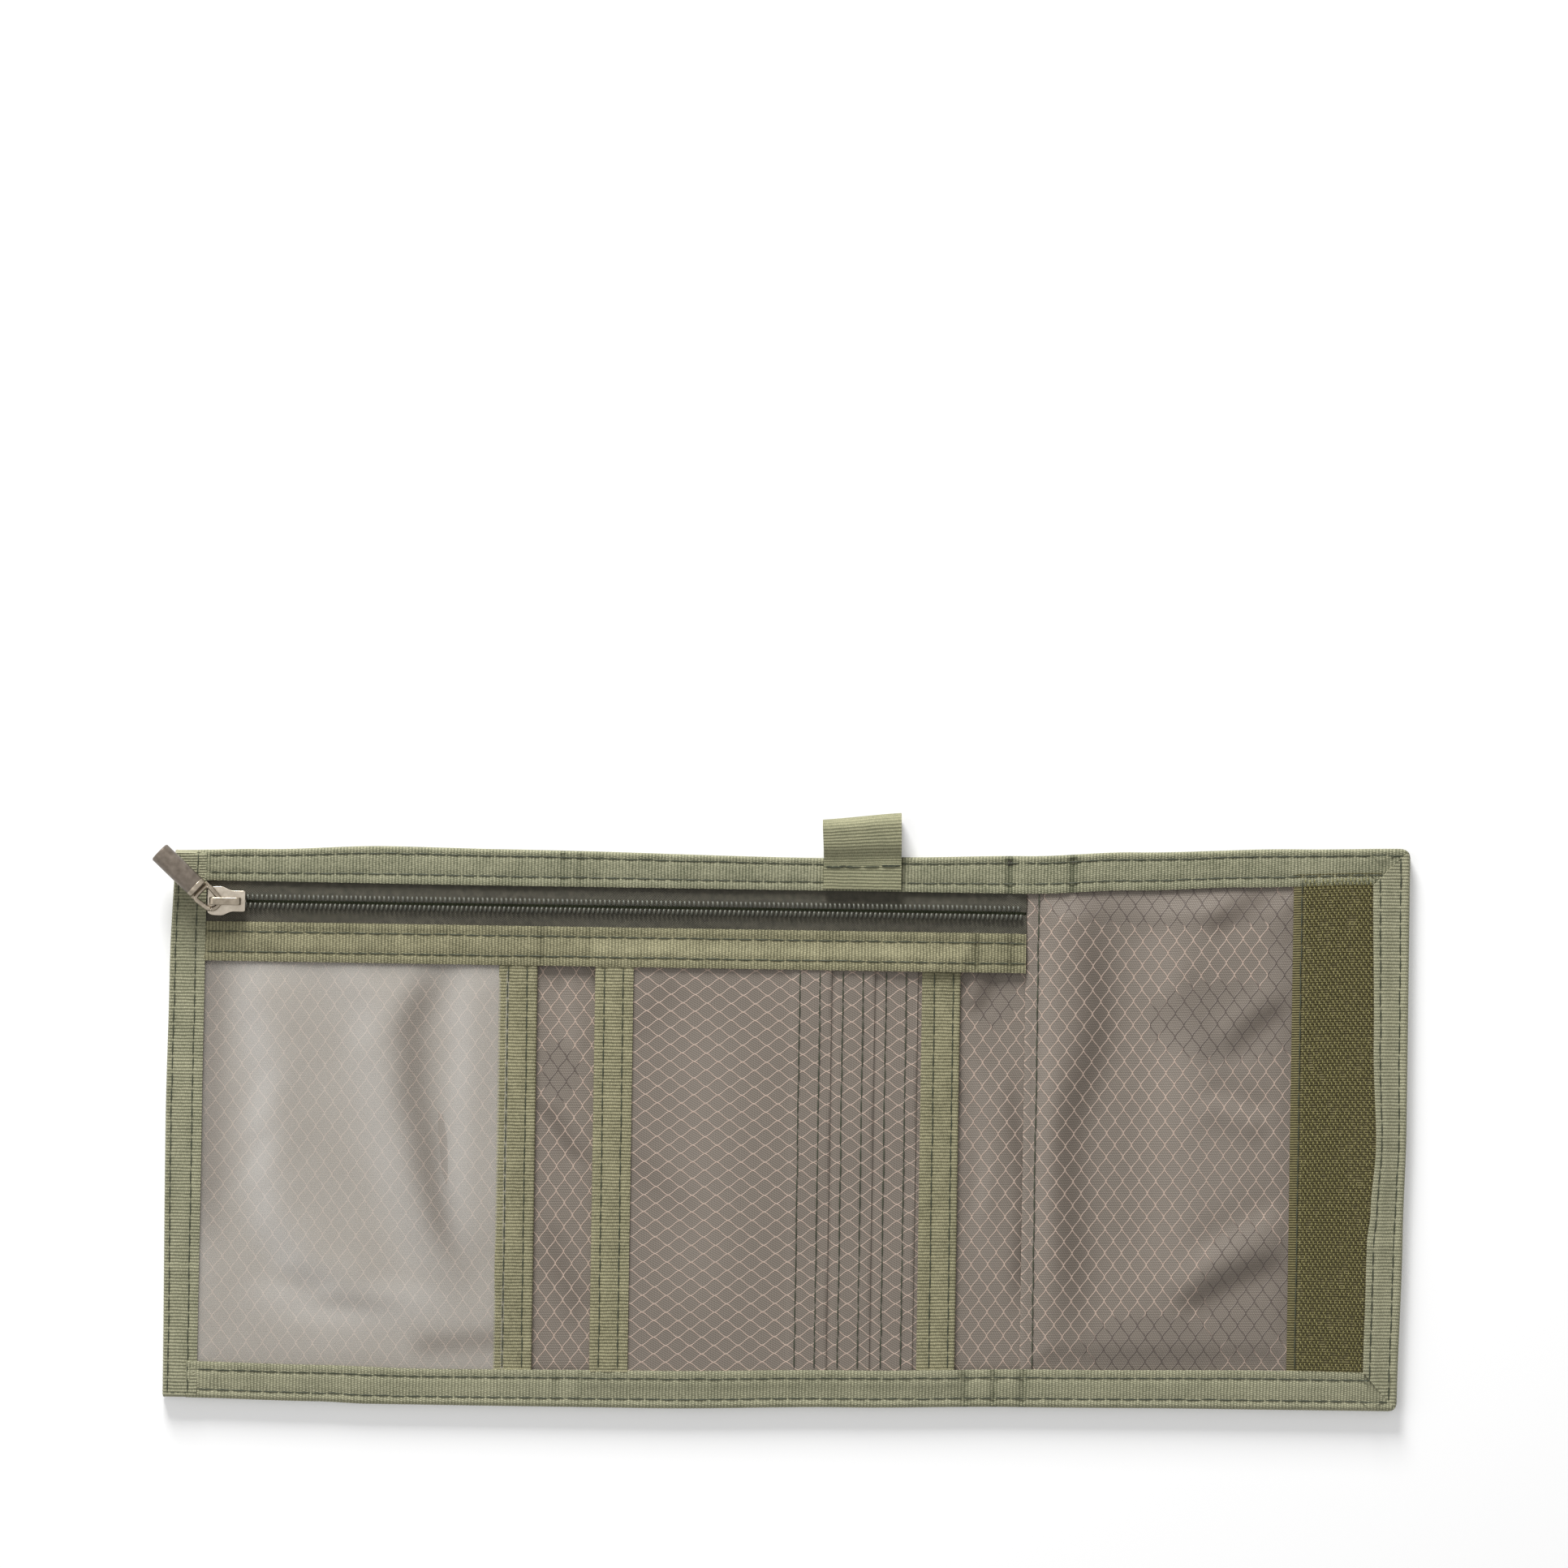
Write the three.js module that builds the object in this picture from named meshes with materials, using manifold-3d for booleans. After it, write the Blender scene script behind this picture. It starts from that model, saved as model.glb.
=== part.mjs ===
import * as THREE from "three";
import { mergeVertices } from "three/addons/utils/BufferGeometryUtils.js";
import Module from "manifold-3d";

const wasm = await Module();
wasm.setup();

// A three-panel fabric wallet, opened flat with its inside up. X runs along the open wallet,
// Y across it towards the zip, and Z out of its inside. All sizes are in millimetres.

// The opened wallet, measured over its bound edges.
const openLength = 290;
const openHeight = 130;
const cornerRadius = 2.3;

// Layers, from the outside cloth to the lining and the pockets.
const bindingTapeThickness = 0.5;
const loopStripThickness = 0.5;
const outerPanelThickness = 1.0;
const liningThickness = 0.5;
const pocketTapeThickness = 0.5;
const windowFilmThickness = 0.3;
const pocketClothThickness = 0.3;
const zipTapeThickness = 0.3;
const zipEdgeTapeThickness = 0.5;

// Gaps kept between pieces: a cut edge beside its neighbour, and a metal part that runs.
const edgeGap = 0.3;
const runningGap = 0.2;

// Widths across the face, from the left edge to the right edge.
const bindingWidth = 8.5;
const leftBindingWidth = 8.5;
const windowShow = 68.7;
const pocketTapeWidth = 9.0;
const liningShowLeft = 13.5;
const firstSlotShow = 46.3;
const slotStep = 10.1;
const slotCount = 3;
const slotMargin = 1.1;
const liningShowRight = 15.5;
const pocketHemWidth = 5.0;
const hookStripWidth = 18.2;
const hookSelvage = 2.2;

// Heights across the face, from the top edge down.
const upperTapeShow = 5.0;
const lowerTapeShow = 4.8;
const zipEdgeTapeWidth = 9.2;
const seamLap = 4.6;

// Hook strip on the right flap: a backing with cross rows of hooks.
const hookBackingThickness = 0.5;
const hookHeight = 0.8;
const hookRowPitch = 1.13;

// Loop strip on the outside of the left panel, where the hook strip lands when the wallet is shut.
const loopStripWidth = 25;
const loopStripLength = 108;
const loopStripFromLeft = 54;

// Coil zip: two rows of coils on two tapes, with a narrow channel between them for the slider.
const coilPitch = 1.1;
const coilRowWidth = 1.4;
const coilHeight = 1.1;
const coilNotch = 0.55;
const zipChannel = 0.7;

// Zip slider: a top plate and a bottom plate on one post, with a crown that holds the pull.
const sliderLength = 8.8;
const sliderShoulderHalf = 3.4;
const sliderFrontHalf = 2.4;
const sliderTailHalf = 2.45;
const sliderTopPlate = 0.9;
const sliderBottomPlate = 0.5;
const sliderBottomHalf = 2.3;
const sliderPostThickness = 0.3;
const sliderPostLength = 2.6;
const crownInset = 0.5;
const crownLength = 7.4;
const crownWidth = 1.8;
const crownThickness = 0.8;
const crownRise = 1.8;
const crownRound = 1.1;

// Zip pull: a flat ring round the front leg of the crown, and a barrel crimped on the ring's tongue.
const pullYawDeg = 137;
const ringEye = 1.5;
const ringWire = 0.8;
const ringWideHalf = 2.6;
const ringWideDistance = 3.9;
const ringBarDepth = 1.1;
const tongueWidth = 2.4;
const tongueLength = 3.0;
const barrelDiameter = 5.0;
const barrelLength = 12.4;
const barrelChamfer = 0.25;
const barrelRise = 1.7;

// Webbing loop at the top edge: one closed band, pressed flat on the binding and open beyond it.
const webbingWidth = 18.2;
const webbingThickness = 0.6;
const webbingFromLeft = 161.9;
const webbingReach = 9.8;
const webbingLap = 9.0;
const webbingOpening = 4.5;
const webbingPlyGap = 0.1;

// Levels above the surface that the wallet lies on.
const panelBase = Math.max(bindingTapeThickness, loopStripThickness);
const outerTop = panelBase + outerPanelThickness;
const liningTop = outerTop + liningThickness;
const pocketBase = liningTop + pocketTapeThickness;
const pocketLayer = Math.max(windowFilmThickness, pocketClothThickness, zipTapeThickness);
const channelTop = pocketBase + pocketLayer;
const bindingBase = panelBase - bindingTapeThickness;
const bindingTop = channelTop + bindingTapeThickness;

// Places across the face.
const left = -openLength / 2;
const right = openLength / 2;
const top = openHeight / 2;
const bottom = -openHeight / 2;
const innerLeft = left + leftBindingWidth;
const innerRight = right - bindingWidth;
const innerTop = top - bindingWidth;
const innerBottom = bottom + bindingWidth;
const windowEdgeLeft = innerLeft + windowShow;
const cardLeft = windowEdgeLeft + pocketTapeWidth + liningShowLeft;
const slotLeft = cardLeft + pocketTapeWidth;
const slotRight = slotLeft + firstSlotShow + (slotCount - 1) * slotStep;
const cardRight = slotRight + slotMargin + pocketTapeWidth;
const pocketHemLeft = cardRight + liningShowRight;
const chainY = innerTop - upperTapeShow;
const zipEdgeTop = chainY - lowerTapeShow;
const zipEdgeBottom = zipEdgeTop - zipEdgeTapeWidth;
const pocketSeamY = zipEdgeBottom + seamLap - edgeGap / 2;
const tapeSeamY = zipEdgeBottom + seamLap + edgeGap / 2;

// Places of the zip's parts.
const tapeTop = pocketBase + zipTapeThickness;
const coilTop = tapeTop + coilHeight;
const plateBase = coilTop + runningGap;
const plateTop = plateBase + sliderTopPlate;
const sliderFront = innerLeft + edgeGap;
const ringBase = plateTop + edgeGap;

const group = new THREE.Group();

function finish(color, roughness, metalness) {
  return new THREE.MeshStandardMaterial({ color, roughness, metalness });
}

const grosgrain = finish(0x8d9470, 0.85, 0);
const ripstop = finish(0x7d746c, 0.6, 0);
const outerCloth = finish(0x6f7558, 0.8, 0);
const frostedFilm = finish(0xaaa59e, 0.4, 0);
const hookPile = finish(0x5d5a36, 0.75, 0);
const loopPile = finish(0x5f5f3c, 0.95, 0);
const zipTapeCloth = finish(0x4c4840, 0.85, 0);
const coilNylon = finish(0x3c3b36, 0.4, 0);
const nickel = finish(0xb9b0a4, 0.3, 1);
const gunmetal = finish(0x5b524c, 0.45, 0.8);

// Adds a named piece to the wallet.
function piece(name, geometry, material, parent = group) {
  const mesh = new THREE.Mesh(geometry, material);
  mesh.name = name;
  parent.add(mesh);
  return mesh;
}

// A rectangle with round corners on its right side.
function panelOutline(x0, x1, y0, y1, radius) {
  const outline = new THREE.Shape();
  outline.moveTo(x0, y0);
  outline.lineTo(x1 - radius, y0);
  outline.absarc(x1 - radius, y0 + radius, radius, -Math.PI / 2, 0, false);
  outline.lineTo(x1, y1 - radius);
  outline.absarc(x1 - radius, y1 - radius, radius, 0, Math.PI / 2, false);
  outline.lineTo(x0, y1);
  return outline;
}

// An outline in the face's plane, made as thick as the space between two levels.
function plate(outline, z0, z1) {
  const geometry = new THREE.ExtrudeGeometry(outline, { depth: z1 - z0, bevelEnabled: false, curveSegments: 6 });
  return geometry.translate(0, 0, z0);
}

// A square-cut sheet between two levels.
function sheet(x0, x1, y0, y1, z0, z1) {
  const geometry = new THREE.BoxGeometry(x1 - x0, y1 - y0, z1 - z0);
  return geometry.translate((x0 + x1) / 2, (y0 + y1) / 2, (z0 + z1) / 2);
}

// An outline drawn in Y and Z, run along X.
function runAlongX(outline, x0, x1) {
  const geometry = new THREE.ExtrudeGeometry(outline, { depth: x1 - x0, bevelEnabled: false, curveSegments: 12 });
  const turn = new THREE.Matrix4().makeBasis(
    new THREE.Vector3(0, 1, 0),
    new THREE.Vector3(0, 0, 1),
    new THREE.Vector3(1, 0, 0),
  );
  return geometry.applyMatrix4(turn).translate(x0, 0, 0);
}

// An outline drawn in X and Z, run along Y.
function runAlongY(outline, y0, y1) {
  const geometry = new THREE.ExtrudeGeometry(outline, { depth: y1 - y0, bevelEnabled: false, curveSegments: 6 });
  return geometry.rotateX(Math.PI / 2).translate(0, y1, 0);
}

function solidOf(geometry) {
  const bare = geometry.clone();
  bare.deleteAttribute("normal");
  bare.deleteAttribute("uv");
  const merged = mergeVertices(bare, 1e-4);
  const mesh = new wasm.Mesh({
    numProp: 3,
    vertProperties: merged.attributes.position.array,
    triVerts: new Uint32Array(merged.index.array),
  });
  return new wasm.Manifold(mesh);
}

function geometryOf(solid) {
  const mesh = solid.getMesh();
  const geometry = new THREE.BufferGeometry();
  geometry.setAttribute("position", new THREE.BufferAttribute(mesh.vertProperties, 3));
  geometry.setIndex(new THREE.BufferAttribute(mesh.triVerts, 1));
  geometry.computeVertexNormals();
  return geometry;
}

// Outer panel: the padded outside cloth, one sheet under the whole wallet.
function addOuterPanel() {
  const inset = bindingTapeThickness + edgeGap;
  const radius = cornerRadius - inset;
  const outline = panelOutline(left + inset, right - inset, bottom + inset, top - inset, radius);
  piece("outer_panel", plate(outline, panelBase, outerTop), outerCloth);
}

// Inner panel: the lining, from the bottom edge up to the zip, with a turned hem at its top.
function addInnerPanel() {
  const inset = bindingTapeThickness + edgeGap;
  const hemTop = zipEdgeTop - edgeGap;
  const hemBottom = pocketSeamY - edgeGap;
  const outline = panelOutline(left + inset, right - inset, bottom + inset, hemTop, cornerRadius - inset);
  const lining = solidOf(plate(outline, outerTop, liningTop));
  const hem = solidOf(sheet(innerLeft, pocketHemLeft - edgeGap, hemBottom, hemTop, outerTop, pocketBase));
  piece("inner_panel", geometryOf(lining.add(hem)), ripstop);
}

// Edge binding: one tape folded over the top, right and bottom edges, with a mitre at each corner.
function addEdgeBinding() {
  const start = innerLeft + edgeGap;
  const body = panelOutline(start, right, bottom, top, cornerRadius);
  const window = new THREE.Path();
  window.moveTo(start + edgeGap, innerBottom);
  window.lineTo(innerRight, innerBottom);
  window.lineTo(innerRight, innerTop);
  window.lineTo(start + edgeGap, innerTop);
  const frame = solidOf(plate(body, bindingBase, bindingTop));
  const field = solidOf(plate(new THREE.Shape(window.getPoints()), bindingBase - 1, bindingTop + 1));
  const opening = solidOf(sheet(start - 1, start + 1, innerBottom, innerTop, bindingBase - 1, bindingTop + 1));
  const fold = bindingTapeThickness;
  const folded = panelOutline(start - 1, right - fold, bottom + fold, top - fold, cornerRadius - fold);
  const channel = solidOf(plate(folded, panelBase, channelTop));
  piece("edge_binding", geometryOf(frame.subtract(field).subtract(opening).subtract(channel)), grosgrain);
}

// A tape folded over a straight edge that runs along Y. Its fold is at foldX, and side is +1 where
// the tape covers cloth to the right of the fold, and -1 where it covers cloth to the left.
function foldedTape(foldX, side, width, y0, y1, base, low, high, tape) {
  const outline = new THREE.Shape();
  const mouthX = foldX + side * width;
  const wallX = foldX + side * tape;
  outline.moveTo(foldX, base);
  outline.lineTo(mouthX, base);
  outline.lineTo(mouthX, low);
  outline.lineTo(wallX, low);
  outline.lineTo(wallX, high);
  outline.lineTo(mouthX, high);
  outline.lineTo(mouthX, high + tape);
  outline.lineTo(foldX, high + tape);
  return runAlongY(outline, y0, y1);
}

// Left binding: a straight tape folded over the left edge, past the ends of the edge binding.
function addLeftBinding() {
  const tape = bindingTapeThickness;
  const fold = foldedTape(left, 1, leftBindingWidth, bottom, top, bindingBase, panelBase, channelTop, tape);
  piece("left_binding", fold, grosgrain);
}

// Pocket tapes: folded over the mouth of the window pocket and both side edges of the card panel.
function addPocketTapes() {
  const y0 = innerBottom + edgeGap;
  const y1 = zipEdgeBottom - edgeGap;
  const tape = pocketTapeThickness;
  const filmTop = pocketBase + windowFilmThickness;
  const clothTop = pocketBase + pocketClothThickness;
  const stackTop = clothTop + slotCount * pocketClothThickness;
  const tapes = [
    ["window_edge_tape", windowEdgeLeft + pocketTapeWidth, -1, filmTop],
    ["card_panel_left_tape", cardLeft, 1, stackTop],
    ["card_panel_right_tape", cardRight, -1, clothTop],
  ];
  for (const [name, foldX, side, high] of tapes) {
    const fold = foldedTape(foldX, side, pocketTapeWidth, y0, y1, liningTop, pocketBase, high, tape);
    piece(name, fold, grosgrain);
  }
}

// Window film: a frosted sheet held in the left and bottom bindings, under the zip edge tape.
function addWindow() {
  const x0 = left + bindingTapeThickness + edgeGap;
  const x1 = windowEdgeLeft + pocketTapeWidth - pocketTapeThickness - edgeGap;
  const y0 = bottom + bindingTapeThickness + edgeGap;
  const film = sheet(x0, x1, y0, pocketSeamY, pocketBase, pocketBase + windowFilmThickness);
  piece("id_window", film, frostedFilm);
}

// Card panel: a backing cloth with stepped slots on it, the front one the narrowest.
function addCardPanel() {
  const x0 = cardLeft + pocketTapeThickness + edgeGap;
  const x1 = cardRight - pocketTapeThickness - edgeGap;
  const y0 = bottom + bindingTapeThickness + edgeGap;
  const backing = sheet(x0, x1, y0, pocketSeamY, pocketBase, pocketBase + pocketClothThickness);
  piece("card_panel", backing, ripstop);
  for (let slot = 1; slot <= slotCount; slot += 1) {
    const base = pocketBase + slot * pocketClothThickness;
    const edge = slotRight - (slot - 1) * slotStep;
    const cloth = sheet(x0, edge, innerBottom + edgeGap, zipEdgeBottom - edgeGap, base, base + pocketClothThickness);
    piece("card_slot_" + slot, cloth, ripstop);
  }
}

// Right pocket: a cloth panel held in the binding on three sides, with a turned hem at its mouth.
function addRightPocket() {
  const inset = bindingTapeThickness + edgeGap;
  const radius = cornerRadius - inset;
  const outline = panelOutline(pocketHemLeft, right - inset, bottom + inset, top - inset, radius);
  const panel = solidOf(plate(outline, pocketBase, pocketBase + pocketClothThickness));
  const hemRight = pocketHemLeft + pocketHemWidth;
  const hemBase = pocketBase - pocketClothThickness;
  const hem = solidOf(sheet(pocketHemLeft, hemRight, innerBottom, innerTop, hemBase, pocketBase));
  piece("right_pocket_panel", geometryOf(panel.add(hem)), ripstop);
}

// Hook strip: a backing tape with cross rows of hooks between its two plain edges.
function addHookStrip() {
  const x1 = innerRight - edgeGap;
  const x0 = x1 - hookStripWidth;
  const y0 = innerBottom + edgeGap;
  const y1 = innerTop - edgeGap;
  const base = pocketBase + pocketClothThickness;
  const backing = solidOf(sheet(x0, x1, y0, y1, base, base + hookBackingThickness));
  const rows = Math.floor((y1 - y0) / hookRowPitch);
  const first = (y0 + y1 - rows * hookRowPitch) / 2;
  const root = base + hookBackingThickness / 2;
  const valley = base + hookBackingThickness;
  const crest = valley + hookHeight;
  const outline = new THREE.Shape();
  outline.moveTo(first, root);
  outline.lineTo(first + rows * hookRowPitch, root);
  for (let row = rows; row > 0; row -= 1) {
    outline.lineTo(first + row * hookRowPitch, valley);
    outline.lineTo(first + (row - 0.5) * hookRowPitch, crest);
  }
  outline.lineTo(first, valley);
  const hooks = solidOf(runAlongX(outline, x0 + hookSelvage, x1));
  piece("hook_strip", geometryOf(backing.add(hooks)), hookPile);
}

// Loop strip: sewn to the outside of the left panel.
function addLoopStrip() {
  const x0 = left + loopStripFromLeft;
  const half = loopStripLength / 2;
  const strip = sheet(x0, x0 + loopStripWidth, -half, half, panelBase - loopStripThickness, panelBase);
  piece("loop_strip", strip, loopPile);
}

// Zip tapes: one sewn into the top binding, the other to the lining's hem.
function addZipTapes() {
  const x0 = left + bindingTapeThickness + edgeGap;
  const x1 = pocketHemLeft - edgeGap;
  const half = zipChannel / 2;
  const upperEnd = top - bindingTapeThickness - edgeGap;
  const upper = sheet(x0, x1, chainY + half, upperEnd, pocketBase, tapeTop);
  const lower = sheet(x0, x1, tapeSeamY, chainY - half, pocketBase, tapeTop);
  piece("zip_tape_upper", upper, zipTapeCloth);
  piece("zip_tape_lower", lower, zipTapeCloth);
}

// One row of coils, with a tooth for each turn. side is +1 for the row above the channel.
function coilRow(side, phase) {
  const x0 = sliderFront;
  const turns = Math.floor((pocketHemLeft - edgeGap - x0) / coilPitch - phase);
  const inner = chainY + side * (zipChannel / 2);
  const notch = inner + side * coilNotch;
  const outer = inner + side * coilRowWidth;
  const start = x0 + phase * coilPitch;
  const outline = new THREE.Shape();
  outline.moveTo(start, outer);
  outline.lineTo(start, notch);
  for (let turn = 0; turn < turns; turn += 1) {
    outline.lineTo(start + (turn + 0.5) * coilPitch, inner);
    outline.lineTo(start + (turn + 1) * coilPitch, notch);
  }
  outline.lineTo(start + turns * coilPitch, outer);
  return plate(outline, tapeTop, coilTop);
}

function addZipCoils() {
  piece("zip_coil_upper", coilRow(1, 0), coilNylon);
  piece("zip_coil_lower", coilRow(-1, 0.5), coilNylon);
}

// Zip edge tape: laid flat over the seam between the zip, the lining and the pockets.
function addZipEdgeTape() {
  const x0 = innerLeft + edgeGap;
  const x1 = pocketHemLeft - edgeGap;
  const tape = sheet(x0, x1, zipEdgeBottom, zipEdgeTop, channelTop, channelTop + zipEdgeTapeThickness);
  piece("zip_edge_tape", tape, grosgrain);
}

// The slider's top plate, seen from above: a round front, wide shoulders and a narrow tail.
function sliderOutline() {
  const corner = 0.5;
  const shoulderX = sliderFront + 0.35 * sliderLength;
  const waistX = sliderFront + 0.68 * sliderLength;
  const tailX = sliderFront + sliderLength;
  const bend = 0.12 * sliderLength;
  const upper = new THREE.Path();
  upper.moveTo(tailX, 0);
  upper.lineTo(tailX, sliderTailHalf - corner);
  upper.quadraticCurveTo(tailX, sliderTailHalf, tailX - corner, sliderTailHalf);
  upper.lineTo(waistX, sliderTailHalf);
  const rise = sliderShoulderHalf;
  upper.bezierCurveTo(waistX - bend, sliderTailHalf, shoulderX + bend, rise, shoulderX, rise);
  upper.bezierCurveTo(shoulderX - bend, rise, sliderFront, sliderFrontHalf + bend, sliderFront, sliderFrontHalf);
  upper.lineTo(sliderFront, 0);
  const half = upper.getPoints(6);
  const mirrored = half.slice(1, -1).reverse().map((point) => new THREE.Vector2(point.x, -point.y));
  const moved = [...half, ...mirrored].map((point) => new THREE.Vector2(point.x, point.y + chainY));
  return new THREE.Shape(moved);
}

// Slider body: the plates, the flanges beside the coils and the thin post that parts the rows.
function addSliderBody() {
  const tailX = sliderFront + sliderLength;
  const coilHalf = zipChannel / 2 + coilRowWidth + runningGap;
  const flangeBase = tapeTop + edgeGap;
  const upper = solidOf(plate(sliderOutline(), flangeBase, plateTop));
  const way = solidOf(
    sheet(sliderFront - 1, tailX + 1, chainY - coilHalf, chainY + coilHalf, flangeBase - 1, plateBase),
  );
  const plateUnder = pocketBase - runningGap;
  const lower = solidOf(
    sheet(
      sliderFront,
      tailX,
      chainY - sliderBottomHalf,
      chainY + sliderBottomHalf,
      plateUnder - sliderBottomPlate,
      plateUnder,
    ),
  );
  const half = sliderPostThickness / 2;
  const postBase = plateUnder - sliderBottomPlate / 2;
  const postTop = plateBase + sliderTopPlate / 2;
  const post = solidOf(
    sheet(sliderFront, sliderFront + sliderPostLength, chainY - half, chainY + half, postBase, postTop),
  );
  piece("slider_body", geometryOf(upper.subtract(way).add(lower).add(post)), nickel);
}

// Crown: an arch along the slider, standing on its top plate, under which the pull's ring passes.
function addSliderCrown() {
  const x0 = sliderFront + crownInset;
  const x1 = x0 + crownLength;
  const z0 = plateTop;
  const z1 = plateTop + crownRise + crownThickness;
  const wall = crownThickness;
  const inner = crownRound - wall / 2;
  const arch = new THREE.Shape();
  arch.moveTo(x0, z0);
  arch.lineTo(x0 + wall, z0);
  arch.lineTo(x0 + wall, z1 - wall - inner);
  arch.absarc(x0 + wall + inner, z1 - wall - inner, inner, Math.PI, Math.PI / 2, true);
  arch.lineTo(x1 - wall - inner, z1 - wall);
  arch.absarc(x1 - wall - inner, z1 - wall - inner, inner, Math.PI / 2, 0, true);
  arch.lineTo(x1 - wall, z0);
  arch.lineTo(x1, z0);
  arch.lineTo(x1, z1 - crownRound);
  arch.absarc(x1 - crownRound, z1 - crownRound, crownRound, 0, Math.PI / 2, false);
  arch.lineTo(x0 + crownRound, z1);
  arch.absarc(x0 + crownRound, z1 - crownRound, crownRound, Math.PI / 2, Math.PI, false);
  piece("slider_crown", runAlongY(arch, chainY - crownWidth / 2, chainY + crownWidth / 2), nickel);
}

// The pull is drawn along its own X, from the crown's leg out to the barrel's far end.
const pull = new THREE.Group();
const crownLegX = sliderFront + crownInset + crownThickness / 2;
pull.position.set(crownLegX, chainY, ringBase);
pull.rotation.z = THREE.MathUtils.degToRad(pullYawDeg);
group.add(pull);

// Pull ring: a round eye that widens to a flat bar, with a tongue for the barrel.
function addPullRing() {
  const outer = ringEye + ringWire;
  const eye = new THREE.Shape();
  const barX = ringWideDistance;
  const barInner = barX - ringBarDepth;
  const innerHalf = ringWideHalf - 1.25 * ringWire;
  eye.moveTo(0, outer);
  eye.absarc(0, 0, outer, Math.PI / 2, (3 * Math.PI) / 2, false);
  eye.lineTo(barX, -ringWideHalf);
  eye.lineTo(barX, -tongueWidth / 2);
  eye.lineTo(barX + tongueLength, -tongueWidth / 2);
  eye.lineTo(barX + tongueLength, tongueWidth / 2);
  eye.lineTo(barX, tongueWidth / 2);
  eye.lineTo(barX, ringWideHalf);
  const hole = new THREE.Path();
  hole.moveTo(0, ringEye);
  hole.absarc(0, 0, ringEye, Math.PI / 2, (3 * Math.PI) / 2, false);
  hole.lineTo(barInner, -innerHalf);
  hole.lineTo(barInner, innerHalf);
  eye.holes.push(hole);
  const geometry = new THREE.ExtrudeGeometry(eye, { depth: ringWire, bevelEnabled: false, curveSegments: 16 });
  piece("pull_ring", geometry, nickel, pull);
}

// Pull barrel: a round rod with a slot in its near end for the ring's tongue.
function addPullBarrel() {
  const radius = barrelDiameter / 2;
  const axisZ = ringWire / 2 + barrelRise;
  const profile = [
    new THREE.Vector2(0, 0),
    new THREE.Vector2(radius - barrelChamfer, 0),
    new THREE.Vector2(radius, barrelChamfer),
    new THREE.Vector2(radius, barrelLength - barrelChamfer),
    new THREE.Vector2(radius - barrelChamfer, barrelLength),
    new THREE.Vector2(0, barrelLength),
  ];
  const rod = new THREE.LatheGeometry(profile, 28);
  rod.rotateZ(-Math.PI / 2).translate(ringWideDistance + edgeGap, 0, axisZ);
  const slotHalf = tongueWidth / 2 + edgeGap;
  const slotEnd = ringWideDistance + tongueLength + edgeGap;
  const slot = sheet(ringWideDistance - 1, slotEnd, -slotHalf, slotHalf, -edgeGap, ringWire + edgeGap);
  piece("pull_barrel", geometryOf(solidOf(rod).subtract(solidOf(slot))), gunmetal, pull);
}

// The webbing's middle line in Y and Z: along the binding, down to the surface beyond the edge,
// round its tip and back over itself.
function webbingLine() {
  const half = webbingThickness / 2;
  const lowZ = bindingTop + half;
  const pressedZ = lowZ + webbingThickness + webbingPlyGap;
  const floorZ = half;
  const highZ = floorZ + webbingOpening + webbingThickness;
  const plyRadius = (pressedZ - lowZ) / 2;
  const tipRadius = (highZ - floorZ) / 2;
  const foldY = top - webbingLap + plyRadius + half;
  const tipY = top + webbingReach - tipRadius - half;
  const shed = top + edgeGap;
  const line = new THREE.Path();
  line.moveTo(foldY, lowZ);
  line.lineTo(shed, lowZ);
  line.bezierCurveTo(shed + 1.2, lowZ, shed + 0.3, floorZ, shed + 1.7, floorZ);
  line.lineTo(tipY, floorZ);
  line.absarc(tipY, floorZ + tipRadius, tipRadius, -Math.PI / 2, Math.PI / 2, false);
  line.lineTo(shed + 1.2, highZ);
  line.bezierCurveTo(shed + 0.2, highZ, shed - 0.2, pressedZ, shed - 1.4, pressedZ);
  line.lineTo(foldY, pressedZ);
  line.absarc(foldY, lowZ + plyRadius, plyRadius, Math.PI / 2, (3 * Math.PI) / 2, false);
  return line.getPoints(10);
}

// Moves each point of a closed line sideways.
function offsetLine(points, distance) {
  const count = points.length;
  return points.map((point, index) => {
    const before = points[(index + count - 1) % count];
    const after = points[(index + 1) % count];
    const along = after.clone().sub(before).normalize();
    return new THREE.Vector2(point.x + along.y * distance, point.y - along.x * distance);
  });
}

// Webbing loop: one closed band.
function addWebbingLoop() {
  const points = webbingLine();
  const distinct = points.filter((point, index) => {
    const next = points[(index + 1) % points.length];
    return point.distanceTo(next) > 1e-3;
  });
  const outline = new THREE.Shape(offsetLine(distinct, webbingThickness / 2));
  outline.holes.push(new THREE.Path(offsetLine(distinct, -webbingThickness / 2)));
  const x0 = left + webbingFromLeft - webbingWidth / 2;
  piece("webbing_loop", runAlongX(outline, x0, x0 + webbingWidth), grosgrain);
}

addOuterPanel();
addInnerPanel();
addEdgeBinding();
addLeftBinding();
addPocketTapes();
addWindow();
addCardPanel();
addRightPocket();
addHookStrip();
addLoopStrip();
addZipTapes();
addZipCoils();
addZipEdgeTape();
addSliderBody();
addSliderCrown();
addPullRing();
addPullBarrel();
addWebbingLoop();

// The origin is the middle of the surface that the wallet lies on.
group.updateMatrixWorld(true);
const reach = new THREE.Box3().setFromObject(group, true);
const middle = reach.getCenter(new THREE.Vector3());
group.position.set(-middle.x, -middle.y, -reach.min.z);

export default group;
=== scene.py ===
import math

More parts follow.
